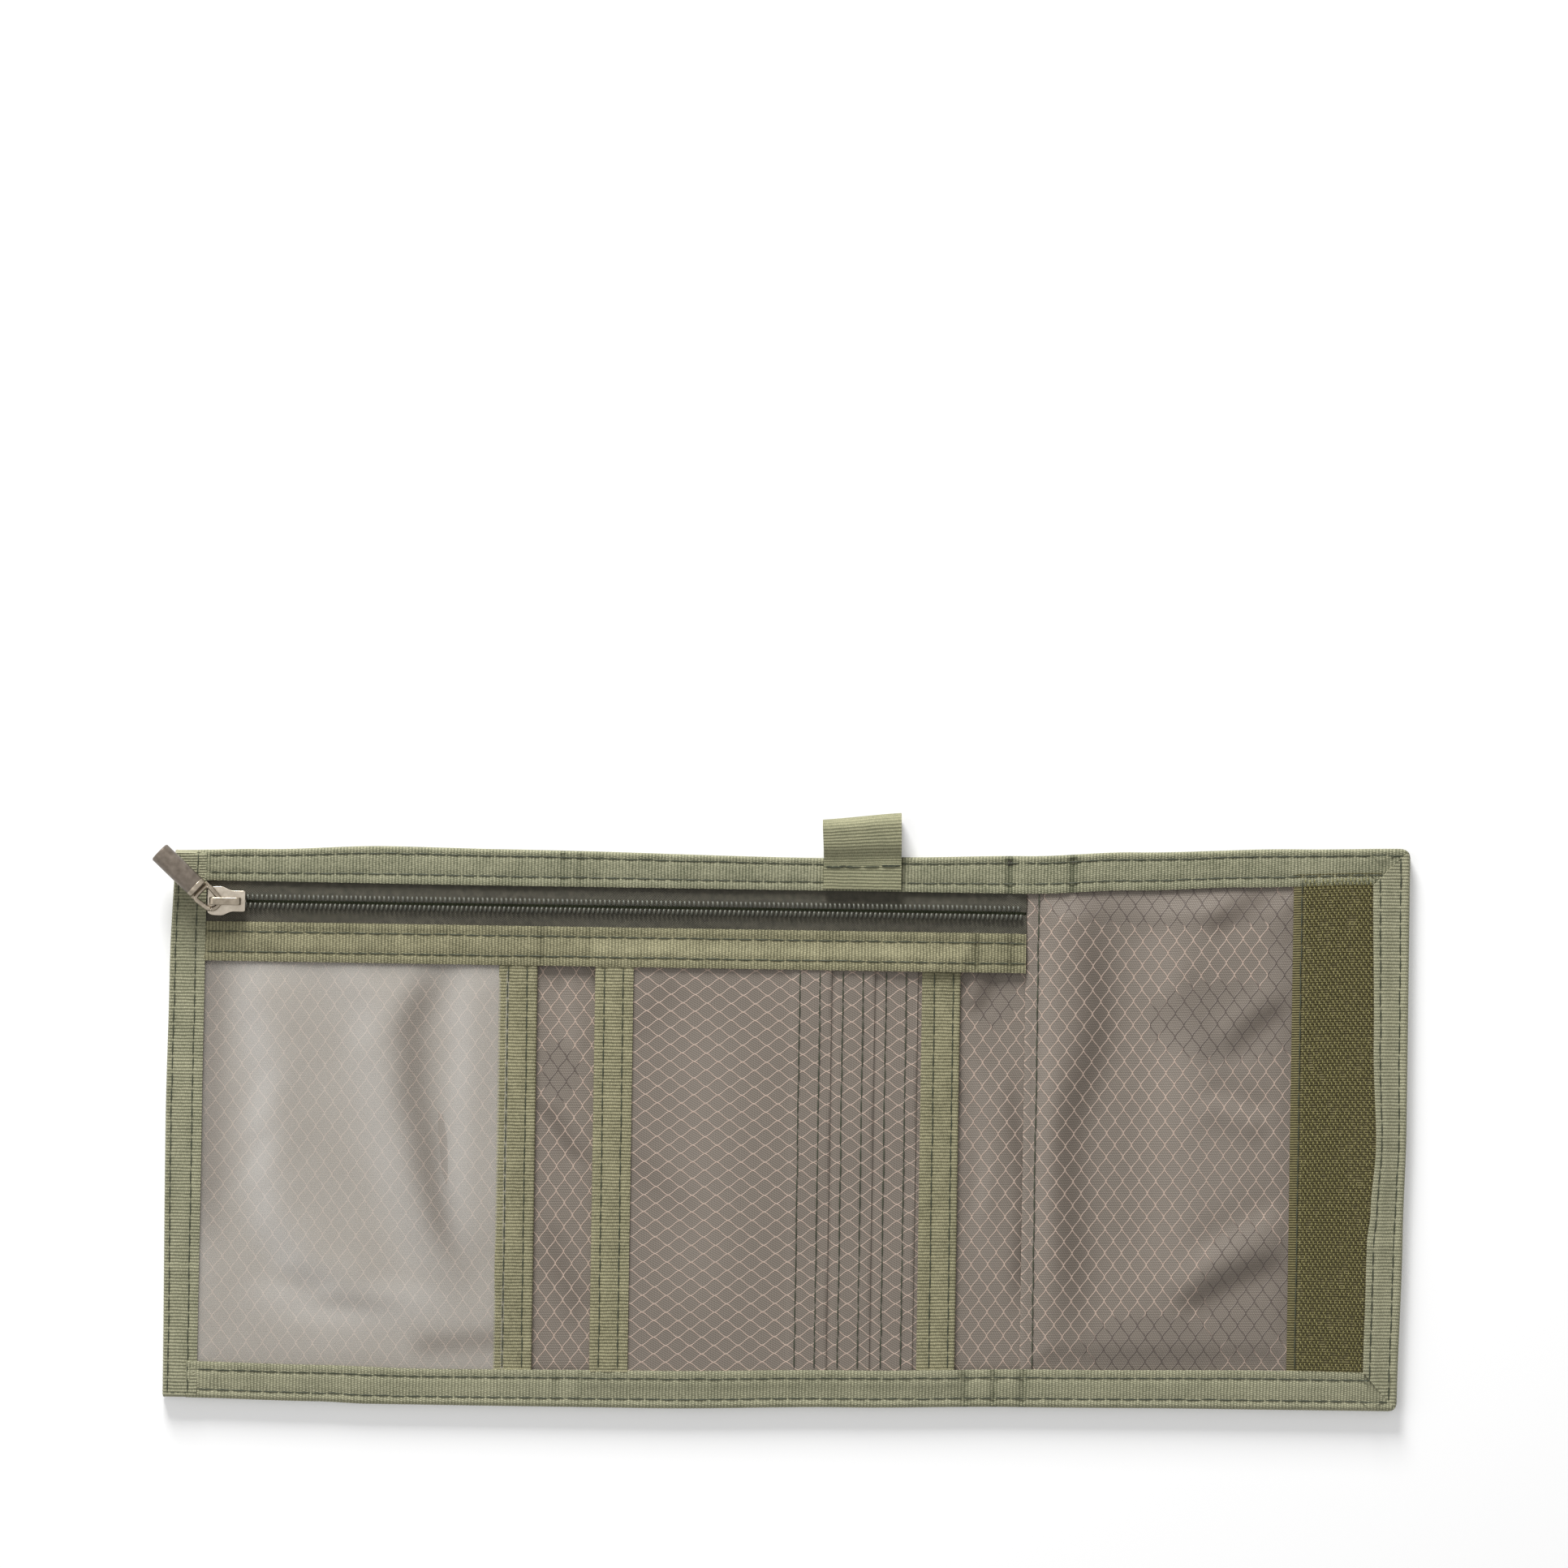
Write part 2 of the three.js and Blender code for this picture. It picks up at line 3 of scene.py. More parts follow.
import bpy
import numpy as np
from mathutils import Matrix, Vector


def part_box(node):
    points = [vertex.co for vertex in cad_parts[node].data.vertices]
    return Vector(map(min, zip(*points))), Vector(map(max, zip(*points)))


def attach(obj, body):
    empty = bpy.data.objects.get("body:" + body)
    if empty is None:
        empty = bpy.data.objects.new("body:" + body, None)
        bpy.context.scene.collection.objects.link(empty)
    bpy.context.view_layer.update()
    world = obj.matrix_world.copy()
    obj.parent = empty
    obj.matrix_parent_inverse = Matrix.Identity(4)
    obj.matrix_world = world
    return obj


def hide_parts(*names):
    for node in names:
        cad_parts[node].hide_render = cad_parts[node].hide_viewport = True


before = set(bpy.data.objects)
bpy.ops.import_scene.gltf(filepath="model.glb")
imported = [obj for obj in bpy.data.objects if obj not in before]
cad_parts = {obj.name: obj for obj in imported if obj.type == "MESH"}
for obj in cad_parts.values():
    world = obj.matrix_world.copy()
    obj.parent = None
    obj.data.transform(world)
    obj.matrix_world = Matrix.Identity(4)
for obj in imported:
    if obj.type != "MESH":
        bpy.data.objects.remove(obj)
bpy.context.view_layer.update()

mm = 0.001

# Table, camera and light. The open wallet lies on a white table and is seen from straight above,
# a little turned in the picture. One soft lamp stands beyond its top edge, so that its shadow
# shows below the bottom edge, and the white room lights the rest.
picture_px = 1932
pixels_per_metre = 5.25 / mm
wallet_middle_px = (968.75, 1387.75)
wallet_turn = math.radians(0.9)
lens_mm = 150
sensor_mm = 36
lamp_place = (-0.3, 1.35, 0.54)
lamp_size = 0.5
lamp_watts = 32.0
side_lamp_place = (-1.2, 0.1, 0.95)
side_lamp_size = 1.3
side_lamp_watts = 4.8
room_level = 0.405
table_color = (0.86, 0.86, 0.86, 1)
table_lift = 0.2

face_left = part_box("left_binding")[0].x
face_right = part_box("edge_binding")[1].x
face_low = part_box("left_binding")[0].y
face_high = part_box("left_binding")[1].y
middle_drop = 0.6 * mm

across_px = picture_px / 2 - wallet_middle_px[0]
up_px = wallet_middle_px[1] - picture_px / 2
look_x = (across_px * math.cos(wallet_turn) - up_px * math.sin(wallet_turn)) / pixels_per_metre
look_y = (across_px * math.sin(wallet_turn) + up_px * math.cos(wallet_turn)) / pixels_per_metre
look_x += (face_left + face_right) / 2
look_y += (face_low + face_high) / 2 + middle_drop
stand_off = picture_px / pixels_per_metre * lens_mm / sensor_mm

bpy.ops.object.select_all(action="DESELECT")
bpy.ops.object.camera_add(location=(look_x, look_y, stand_off), rotation=(0, 0, wallet_turn))
camera = bpy.context.object
camera.name = "camera"
camera.data.lens = lens_mm
camera.data.sensor_width = sensor_mm
bpy.context.scene.camera = camera
bpy.context.scene.view_settings.view_transform = "Standard"

for lamp_name, place, size, watts in (("soft_lamp", lamp_place, lamp_size, lamp_watts),
                                      ("side_lamp", side_lamp_place, side_lamp_size, side_lamp_watts)):
    bpy.ops.object.light_add(type="AREA", location=place)
    lamp = bpy.context.object
    lamp.name = lamp_name
    lamp.data.size = size
    lamp.data.energy = watts
    lamp.rotation_euler = (-lamp.location).to_track_quat("-Z", "Y").to_euler()


class Value:
    """A socket that a sum can use: each operator adds a Math node."""

    def __init__(self, finish, socket):
        self.finish = finish
        self.socket = socket

    def math(self, operation, *others):
        return self.finish.node("ShaderNodeMath", {"operation": operation}, [self, *others])

    def __add__(self, other):
        return self.math("ADD", other)

    def __radd__(self, other):
        return self.math("ADD", other)

    def __sub__(self, other):
        return self.math("SUBTRACT", other)

    def __rsub__(self, other):
        return self.finish.node("ShaderNodeMath", {"operation": "SUBTRACT"}, [other, self])

    def __mul__(self, other):
        return self.math("MULTIPLY", other)

    def __rmul__(self, other):
        return self.math("MULTIPLY", other)

    def __truediv__(self, other):
        return self.math("DIVIDE", other)

    def sin(self):
        return self.math("SINE")

    def fract(self):
        return self.math("FRACT")

    def floor(self):
        return self.math("FLOOR")

    def abs(self):
        return self.math("ABSOLUTE")

    def min(self, other):
        return self.math("MINIMUM", other)

    def max(self, other):
        return self.math("MAXIMUM", other)

    def over(self, edge, soft):
        """0 below the edge and 1 above it, with a soft step between."""
        settings = {"interpolation_type": "SMOOTHSTEP"}
        inputs = {"Value": self, "From Min": edge - soft, "From Max": edge + soft}
        return self.finish.node("ShaderNodeMapRange", settings, inputs)


class Finish:
    """A material's nodes. node adds one, with its settings first and then its inputs."""

    def __init__(self, name):
        self.material = bpy.data.materials.new(name)
        self.material.use_nodes = True
        self.tree = self.material.node_tree
        self.shader = self.tree.nodes["Principled BSDF"]

    def node(self, kind, settings=None, inputs=(), output=0):
        made = self.tree.nodes.new(kind)
        for key, value in (settings or {}).items():
            setattr(made, key, value)
        pairs = inputs.items() if isinstance(inputs, dict) else enumerate(inputs)
        for key, value in pairs:
            self.join(made.inputs[key], value)
        return Value(self, made.outputs[output])

    def join(self, socket, value):
        if isinstance(value, Value):
            self.tree.links.new(value.socket, socket)
        else:
            socket.default_value = value

    def shade(self, **inputs):
        for key, value in inputs.items():
            self.join(self.shader.inputs[key.replace("_", " ")], value)

    def surface(self):
        """The cloth's own length and width at each point, in millimetres."""
        place = self.node("ShaderNodeUVMap", {"uv_map": "UVMap"})
        parts = self.tree.nodes.new("ShaderNodeSeparateXYZ")
        self.tree.links.new(place.socket, parts.inputs[0])
        return Value(self, parts.outputs[0]) / mm, Value(self, parts.outputs[1]) / mm

    def mark(self, name):
        """A soft mask that is painted on the piece's points."""
        return self.node("ShaderNodeAttribute", {"attribute_name": name}, output="Fac")

    def cloud(self, size, detail=2.0, place=None):
        """Soft noise from 0 to 1, with blotches of about the given size."""
        if place is None:
            place = self.node("ShaderNodeTexCoord", output="Object")
        return self.node("ShaderNodeTexNoise", None, {"Vector": place, "Scale": 1 / size, "Detail": detail})

    def blend(self, share, first, second):
        settings = {"data_type": "RGBA"}
        return self.node("ShaderNodeMix", settings, {"Factor": share, 6: first, 7: second}, output=2)

    def bump(self, height, distance, strength=1.0):
        inputs = {"Height": height, "Distance": distance, "Strength": strength}
        return self.node("ShaderNodeBump", None, inputs)


def tone(red, green, blue):
    """A colour given in picture values of 0 to 255."""
    parts = [part / 255 for part in (red, green, blue)]
    return (*[part / 12.92 if part <= 0.04045 else ((part + 0.055) / 1.055) ** 2.4 for part in parts], 1)


table_finish = Finish("white_table")
rays = table_finish.tree.nodes.new("ShaderNodeLightPath")
seen_straight = Value(table_finish, rays.outputs["Is Camera Ray"])
seen_in_metal = Value(table_finish, rays.outputs["Is Glossy Ray"])
seen_in_film = Value(table_finish, rays.outputs["Is Transmission Ray"])
seen = seen_straight.max(seen_in_metal).max(seen_in_film)
table_glow = table_finish.blend(seen, (0, 0, 0, 1), (1, 1, 1, 1))
table_finish.shade(Base_Color=table_color, Roughness=0.9)
table_finish.shade(Emission_Color=table_glow, Emission_Strength=table_lift)
bpy.ops.mesh.primitive_plane_add(size=6, location=(0, 0, 0))
table = bpy.context.object
table.name = "table"
table.location.z = -0.05 * mm
bpy.ops.object.transform_apply(location=True, rotation=False, scale=False)
table.data.materials.append(table_finish.material)

room = bpy.data.worlds.new("white_room")
bpy.context.scene.world = room
room.use_nodes = True
room_tree = room.node_tree
room_rays = room_tree.nodes.new("ShaderNodeLightPath")
plain_light = room_tree.nodes["Background"]
plain_light.inputs["Color"].default_value = (1, 1, 1, 1)
plain_light.inputs["Strength"].default_value = room_level
white_back = room_tree.nodes.new("ShaderNodeBackground")
white_back.inputs["Color"].default_value = (1, 1, 1, 1)
room_mix = room_tree.nodes.new("ShaderNodeMixShader")
any_white = room_tree.nodes.new("ShaderNodeMath")
any_white.operation = "MAXIMUM"
mirror_or_film = room_tree.nodes.new("ShaderNodeMath")
mirror_or_film.operation = "MAXIMUM"
for start, end in (
    (room_rays.outputs["Is Glossy Ray"], mirror_or_film.inputs[0]),
    (room_rays.outputs["Is Transmission Ray"], mirror_or_film.inputs[1]),
    (room_rays.outputs["Is Camera Ray"], any_white.inputs[0]),
    (mirror_or_film.outputs[0], any_white.inputs[1]),
    (any_white.outputs[0], room_mix.inputs[0]),
    (plain_light.outputs[0], room_mix.inputs[1]),
    (white_back.outputs[0], room_mix.inputs[2]),
    (room_mix.outputs[0], room_tree.nodes["World Output"].inputs[0]),
):
    room_tree.links.new(start, end)

# Outside cloth. One sheet of padded olive cloth lies under the whole wallet and is caught in the
# bindings all round. The sewn wallet isn't a true rectangle: its edges wander by up to 3 mm, and
# every piece of cloth follows them.
top_edge_drift = [(0, -1.8), (22, -1.2), (50, -0.1), (78, -0.4), (153, -1.3), (171, -0.8), (200, -0.1),
                  (226, 1.2), (264, 2.5), (290, 3.0)]
top_tape_drift = [(0, -0.2), (78, -0.4), (200, -0.4), (226, 0.8), (252, 1.9), (281, 3.0)]
low_tape_drift = [(0, 0.2), (36, -0.3), (60, -0.8), (114, -0.4), (160, 0.4), (208, 1.3),
                  (263, 1.9), (290, 1.7)]
low_edge_drift = [(0, 0.0), (36, -0.5), (48, -0.9), (114, -0.9), (160, 0.0), (200, 0.7),
                  (247, 1.0), (290, 1.1)]
left_edge_drift = [(0, -0.2), (65, -0.5), (100, -0.1), (130, 0.8)]
left_tape_drift = [(0, -0.6), (65, -0.4), (130, -0.1)]
right_tape_drift = [(0, -0.6), (10, -0.6), (30, -0.3), (38, -0.2), (46, 0.6), (61, 1.6),
                    (84, 0.7), (125, 0.0)]
right_edge_drift = [(0, -0.9), (40, -0.1), (65, 0.4), (130, 0.3)]
outer_step = 1.6 * mm

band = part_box("left_binding")[1].x - face_left
band_right = face_right - band
band_left = face_left + band
band_low = face_low + band
band_high = face_high - band
corner_round = 2.3 * mm
hem_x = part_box("right_pocket_panel")[0].x
zip_edge_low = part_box("zip_edge_tape")[0].y
coil_high_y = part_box("zip_coil_upper")[1].y
chain_y = (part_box("zip_coil_upper")[0].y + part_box("zip_coil_lower")[1].y) / 2


def ease(share):
    share = np.clip(share, 0, 1)
    return share * share * (3 - 2 * share)


def drift(stations, distance):
    """How far an edge wanders at a distance along it, easing from one station to the next."""
    along = np.array([station[0] for station in stations]) * mm
    off = np.array([station[1] for station in stations]) * mm
    index = np.clip(np.searchsorted(along, distance, side="right") - 1, 0, len(along) - 2)
    share = (distance - along[index]) / (along[index + 1] - along[index])
    return off[index] + (off[index + 1] - off[index]) * ease(share)


def settle(x, y):
    """Moves points of the true rectangle to where the sewn wallet has them."""
    run = x - face_left
    climb = y - face_low
    over_x, over_y = x - (face_right - corner_round), y - (face_high - corner_round)
    under_y = (face_low + corner_round) - y
    for past_y, sign in ((over_y, 1), (under_y, -1)):
        corner = (over_x > 0) & (past_y > 0)
        reach = np.hypot(over_x, past_y)
        pull = np.where(corner & (reach > corner_round), corner_round / np.maximum(reach, 1e-9), 1)
        x = np.where(corner, face_right - corner_round + over_x * pull, x)
        y = np.where(corner, y - sign * past_y * (1 - pull), y)
    low, high = drift(low_tape_drift, run), drift(top_tape_drift, run)
    by_zip = ease((y - coil_high_y) / (band_high - coil_high_y))
    by_height = (y - band_low) / (band_high - band_low)
    on_flap = ease((x - hem_x + 4 * mm) / (8 * mm))
    share = by_zip * (1 - on_flap) + by_height * on_flap
    below = ease((zip_edge_low - y) / (zip_edge_low - band_low))
    field = np.where(share > 0, high * share, 0) + low * (below * (1 - on_flap) + (1 - by_height) * on_flap)
    field = np.where(y > band_high, high, np.where(y < band_low, low, field))
    in_top = np.clip((y - band_high) / band, 0, 2)
    in_low = np.clip((band_low - y) / band, 0, 1)
    rise = field + (drift(top_edge_drift, run) - high) * in_top + (drift(low_edge_drift, run) - low) * in_low
    in_left = np.clip((band_left - x) / band, 0, 1)
    in_right = np.clip((x - band_right) / band, 0, 1)
    left_shift = drift(left_tape_drift, climb) * (1 - in_left) + drift(left_edge_drift, climb) * in_left
    right_shift = drift(right_tape_drift, climb) * (1 - in_right) + drift(right_edge_drift, climb) * in_right
    near_left = ease(1 - (x - band_left) / (6 * mm))
    near_right = ease(1 - (band_right - x) / (6 * mm))
    return x + left_shift * near_left + right_shift * near_right, y + rise


def settle_points(points):
    points[:, 0], points[:, 1] = settle(points[:, 0], points[:, 1])


def path_lengths(line):
    """How far each point of a line lies along it."""
    return np.concatenate([[0], np.cumsum(np.hypot(*np.diff(line, axis=0).T))])


def woven_grid(name, along, across):
    """A grid with a row for each place along the cloth and each place across it."""
    bpy.ops.object.select_all(action="DESELECT")
    bpy.ops.mesh.primitive_grid_add(x_subdivisions=len(along) - 1, y_subdivisions=len(across) - 1, size=2)
    cloth = bpy.context.object
    cloth.name = name
    places = np.empty(len(cloth.data.vertices) * 3)
    cloth.data.vertices.foreach_get("co", places)
    places = (places.reshape(-1, 3) + 1) / 2
    row = np.rint(places[:, 0] * (len(along) - 1)).astype(int)
    column = np.rint(places[:, 1] * (len(across) - 1)).astype(int)
    corners = np.empty(len(cloth.data.loops), int)
    cloth.data.loops.foreach_get("vertex_index", corners)
    flat = np.stack([np.asarray(along)[row], np.asarray(across)[column]], axis=1)
    cloth.data.uv_layers["UVMap"].data.foreach_set("uv", flat[corners].ravel())
    return cloth, row, column


def points_of(thing):
    places = np.empty(len(thing.data.vertices) * 3)
    thing.data.vertices.foreach_get("co", places)
    return places.reshape(-1, 3)


def put_points(thing, points):
    thing.data.vertices.foreach_set("co", np.asarray(points, float).ravel())
    thing.data.update()


def pick_up(piece):
    bpy.ops.object.select_all(action="DESELECT")
    piece.select_set(True)
    bpy.context.view_layer.objects.active = piece


def give_thickness(cloth, thickness, offset, material):
    """Makes the sheet a closed cloth. offset is 1 where it thickens upwards, and -1 downwards."""
    pick_up(cloth)
    bpy.ops.object.modifier_add(type="SOLIDIFY")
    solidify = cloth.modifiers[-1]
    solidify.thickness = thickness
    solidify.offset = offset
    bpy.ops.object.modifier_apply(modifier=solidify.name)
    bpy.ops.object.shade_smooth_by_angle(angle=math.radians(50))
    cloth.data.materials.clear()
    cloth.data.materials.append(material)


def steps(start, end, step):
    return np.linspace(start, end, max(2, int(round(abs(end - start) / step)) + 1))


def laid_cloth(name, low, high, step, thickness, material, relief=None):
    """A sheet between two corners. relief gives how far it stands off its bed at each point."""
    xs, ys = steps(low.x, high.x, step), steps(low.y, high.y, step)
    cloth, row, column = woven_grid(name, xs, ys)
    x, y = xs[row], ys[column]
    z = np.full(len(x), low.z)
    if relief:
        z = z + relief(x, y)
    x, y = settle(x, y)
    put_points(cloth, np.stack([x, y, z], axis=1))
    give_thickness(cloth, thickness, 1, material)
    return cloth


outer_finish = Finish("padded_outer_cloth")
outer_run, outer_width = outer_finish.surface()
outer_yarn = (outer_run * 9.0).sin() * (outer_width * 9.0).sin()
outer_blotch = outer_finish.cloud(6 * mm)
outer_finish.shade(Base_Color=outer_finish.blend(
    outer_yarn * 0.25 + outer_blotch, tone(86, 92, 66), tone(120, 126, 96)), Roughness=0.85)
outer_finish.shade(Normal=outer_finish.bump(outer_yarn, 0.05 * mm))

outer_low, outer_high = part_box("outer_panel")
outer_panel = laid_cloth("outside_cloth", outer_low, outer_high, outer_step,
                         outer_high.z - outer_low.z, outer_finish.material)
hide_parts("outer_panel")
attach(outer_panel, "wallet")

# Loop strip. A strip of soft loop pile on a woven backing is sewn to the outside of the left
# panel, where the hook strip meets it when the wallet is shut. Its pile is a fine uneven nap.
pile_step = 0.55 * mm
pile_depth = 0.16 * mm

pile_finish = Finish("loop_pile")
pile_tuft = pile_finish.cloud(0.7 * mm, 3)
pile_tint = pile_finish.blend(pile_tuft, tone(62, 64, 40), tone(128, 128, 88))
pile_finish.shade(Base_Color=pile_tint, Roughness=0.95)
pile_finish.shade(Normal=pile_finish.bump(pile_tuft, 0.25 * mm), Sheen_Weight=0.5, Sheen_Roughness=0.5)

strip_low, strip_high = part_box("loop_strip")
strip_x, strip_y = steps(strip_low.x, strip_high.x, pile_step), steps(strip_low.y, strip_high.y, pile_step)
loop_strip, row, column = woven_grid("loop_pile_strip", strip_x, strip_y)
nap = np.random.default_rng(4).random(len(row)) * pile_depth
edge = np.minimum(np.minimum(row, len(strip_x) - 1 - row), np.minimum(column, len(strip_y) - 1 - column))
nap = np.where(edge == 0, 2.2 * pile_depth, nap)
put_points(loop_strip, np.stack([strip_x[row], strip_y[column], strip_low.z + nap], axis=1))
give_thickness(loop_strip, 0.3 * mm, 1, pile_finish.material)
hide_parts("loop_strip")
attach(loop_strip, "wallet")

# Lining. Taupe ripstop cloth is the front wall of the zipped pocket. Thicker pale threads cross it
# in tall diamonds, and it takes soft creases where the wallet folds. The creases are real relief,
# with painted shade and painted highlight along them, and dark patches of the threads are painted sheen.
diamond_width = 3.9
diamond_height = 5.65
weave_pitch = 0.36
thread_width = 0.034
lining_step = 1.1 * mm


def ripstop(name, turned, ground, thread):
    """Ripstop cloth. turned lays the diamonds on their side, as on the card slots. Two masks on the points
    blend the ground to a darker tone as painted shade and to a lighter one as painted highlight, and a third
    turns the pale threads dark as painted sheen.
    """
    finish = Finish(name)
    run, width = finish.surface()
    if turned:
        run, width = width, run
    across = run / diamond_width
    zigzag = ((width / diamond_height).fract() - 0.5).abs() * 4 - 1
    bend = zigzag * (1.3 - zigzag * zigzag * 0.3) * 0.25
    first = ((across - bend).fract() - 0.5).abs()
    second = ((across + bend).fract() - 0.5).abs()
    first = 0.5 - first
    line = first.min(second)
    thread_share = 1 - line.over(thread_width, 0.022)
    rows = (width * (2 * math.pi / weave_pitch)).sin()
    dashes = (run * (2 * math.pi / (weave_pitch * 1.5)) + (width / weave_pitch).floor() * 2.1).sin()
    weave = rows * 0.6 + dashes * 0.5
    blotch = finish.cloud(9 * mm, 3)
    tint = finish.blend(weave * 0.45 + 0.5, ground[0], ground[1])
    tint = finish.blend(blotch.over(0.55, 0.25) * 0.35, tint, ground[2])
    # Painted shade and painted highlight: two masks on the points blend the ground to a darker or a lighter
    # tone.
    painted_shade = finish.mark("painted_shade")
    painted_highlight = finish.mark("painted_highlight")
    tint = finish.blend(painted_shade * 0.55, tint, ground[3])
    tint = finish.blend(painted_highlight * 0.45, tint, ground[4])
    # Painted sheen: where this mask is high, the pale threads take their dark tone.
    lit = finish.mark("sheen_turn")
    family = first.math("LESS_THAN", second)
    turned_dark = (lit + family * 0.22).over(0.56, 0.13)
    threads = finish.blend(turned_dark, thread[0], thread[1])
    finish.shade(Base_Color=finish.blend(thread_share, tint, threads))
    finish.shade(Roughness=0.52 - thread_share * 0.1, Specular_IOR_Level=0.35)
    finish.shade(Normal=finish.bump(thread_share * 0.7 + weave * 0.35, 0.09 * mm))
    return finish.material


# Ground tones: two for the weave, one for random blotches, one for painted shade and one for painted
# highlight. Thread tones: pale, and dark as painted sheen.
ripstop_ground = (tone(102, 93, 84), tone(144, 134, 123), tone(120, 111, 102), tone(92, 82, 73),
                  tone(158, 148, 138))
ripstop_thread = (tone(186, 165, 150), tone(92, 82, 76))
ripstop_tall = ripstop("ripstop_tall_diamonds", False, ripstop_ground, ripstop_thread)
ripstop_wide = ripstop("ripstop_wide_diamonds", True, ripstop_ground, ripstop_thread)


def across_path(x, y, path):
    """How far points lie to the right of a path, and how far along it. The path is given in
    millimetres from the wallet's left and bottom edges."""
    spots = np.array(path, float) * mm + (face_left, face_low)
    if spots[0][1] > spots[-1][1]:
        spots = spots[::-1]
    line = spots[-1] - spots[0]
    reach = np.hypot(*line)
    line /= reach
    along = (spots - spots[0]) @ line
    aside = (spots - spots[0]) @ (line[1], -line[0])
    place = (x - spots[0][0]) * line[0] + (y - spots[0][1]) * line[1]
    index = np.clip(np.searchsorted(along, place, side="right") - 1, 0, len(along) - 2)
    share = ease((place - along[index]) / (along[index + 1] - along[index]))
    middle = aside[index] + (aside[index + 1] - aside[index]) * share
    away = (x - spots[0][0]) * line[1] - (y - spots[0][1]) * line[0] - middle
    return away, place / reach


def fold(x, y, path, width, height):
    """A soft wave along a path. Where height is above 0 the cloth rises to the right across the
    path, and below 0 it falls. It fades at both ends."""
    away, place = across_path(x, y, path)
    wave = away / (width * mm)
    return height * mm * end_fade(place) * wave * np.exp(0.5 - wave ** 2) * 1.4


def end_fade(place):
    """1 along a path, falling to 0 at both of its ends."""
    return ease((place + 0.1) / 0.3) * ease((1.1 - place) / 0.3)


def paint_mark(piece, name, values):
    layer = piece.data.attributes.new(name, "FLOAT", "POINT")
    layer.data.foreach_set("value", values)


def tint_along(cloth, name, bands):
    """Marks soft bands of painted shade or painted highlight on a cloth, each a path, a width in millimetres
    and a strength up to 1.
    """
    points = points_of(cloth)
    mark = np.zeros(len(points))
    for path, width, strength in bands:
        away, place = across_path(points[:, 0], points[:, 1], path)
        mark = np.maximum(mark, strength * end_fade(place) * np.exp(-(away / (width * mm)) ** 2))
    paint_mark(cloth, name, mark)


def hold_edges(x, y, low, high, reach):
    """1 inside the cloth, falling to 0 at the edges that are sewn down."""
    inside = np.minimum(np.minimum(x - low.x, high.x - x), np.minimum(y - low.y, high.y - y))
    return ease(inside / reach)


def mark_sheen(cloth, spots):
    """Marks the places where the pale threads turn dark as painted sheen, each a centre and two radii in
    millimetres.
    """
    points = points_of(cloth)
    turn = np.zeros(len(points))
    for spot_x, spot_y, wide, tall in spots:
        off_x = (points[:, 0] - face_left - spot_x * mm) / (wide * mm)
        off_y = (points[:, 1] - face_low - spot_y * mm) / (tall * mm)
        turn = np.maximum(turn, ease(1.5 - np.hypot(off_x, off_y)))
    paint_mark(cloth, "sheen_turn", turn)


lining_low, lining_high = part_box("inner_panel")
lining_creases = [
    ([(87.6, 71.3), (97.3, 56.6)], 2.0, 0.35),
    ([(88.1, 40.6), (97.9, 19.6)], 2.2, -0.3),
    ([(92, 100), (96, 84)], 2.0, 0.25),
    ([(189.3, 93.2), (192.3, 103.8)], 2.5, -0.35),
    ([(186, 80), (192, 62), (190, 40)], 3.0, 0.3),
    ([(196.9, 77.4), (200.5, 51.0), (199.9, 24.5)], 2.5, -0.4),
]


def lining_relief(x, y):
    held = hold_edges(x, y, lining_low, lining_high, 9 * mm)
    return 0.4 * mm * held + held * sum(fold(x, y, *crease) for crease in lining_creases)


lining_cloth = 0.3 * mm
lining_base = lining_low.copy()
lining_base.z = lining_high.z - 1.0 * mm
lining = laid_cloth("lining", lining_base, lining_high, lining_step, lining_cloth, ripstop_tall,
                    lining_relief)
# Painted sheen in two patches, painted shade along the creases' hollows and painted highlight on two ridges.
mark_sheen(lining, [(193, 98, 5, 8), (92, 78, 4, 7)])
tint_along(lining, "painted_shade", [([(189, 93), (192, 104)], 4, 0.9), ([(197, 77), (200, 51), (200, 24)], 3, 0.8),
                           ([(88, 71), (97, 57)], 3, 0.8), ([(88, 41), (98, 20)], 3.5, 0.8)])
tint_along(lining, "painted_highlight", [([(190, 80), (192, 30)], 3, 0.5), ([(92, 98), (94, 84)], 3, 0.5)])
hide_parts("inner_panel")
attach(lining, "wallet")

# Zip tapes. Two dark twill tapes, woven in herringbone, are sewn into the top binding and to the
# lining. A narrow channel between them lets the slider's post through.
tape_step = 0.9 * mm
twill_pitch = 0.62
herringbone_width = 2.4
tape_wave = 0.12 * mm

twill_finish = Finish("herringbone_twill")
twill_run, twill_width = twill_finish.surface()
chevron = ((twill_width / herringbone_width).fract() - 0.5).abs() * herringbone_width
twill = ((twill_run + chevron * 1.6) * (2 * math.pi / twill_pitch)).sin()
twill_fuzz = twill_finish.cloud(1.2 * mm, 3)
twill_finish.shade(Base_Color=twill_finish.blend(
    twill * 0.28 + twill_fuzz, tone(48, 46, 38), tone(100, 96, 82)), Roughness=0.85)
twill_finish.shade(Normal=twill_finish.bump(twill, 0.07 * mm))



def tape_relief(x, y):
    """The tapes wave a little, but not under the coils."""
    return tape_wave * np.sin((x - face_left) / (7.3 * mm)) * ease((np.abs(y - chain_y) - 3.5 * mm) / mm)


for tape_name in ("zip_tape_upper", "zip_tape_lower"):
    tape_low, tape_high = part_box(tape_name)
    zip_tape = laid_cloth(tape_name.replace("zip_tape", "twill_tape"), tape_low, tape_high, tape_step,
                          tape_high.z - tape_low.z, twill_finish.material, tape_relief)
    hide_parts(tape_name)
    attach(zip_tape, "wallet")

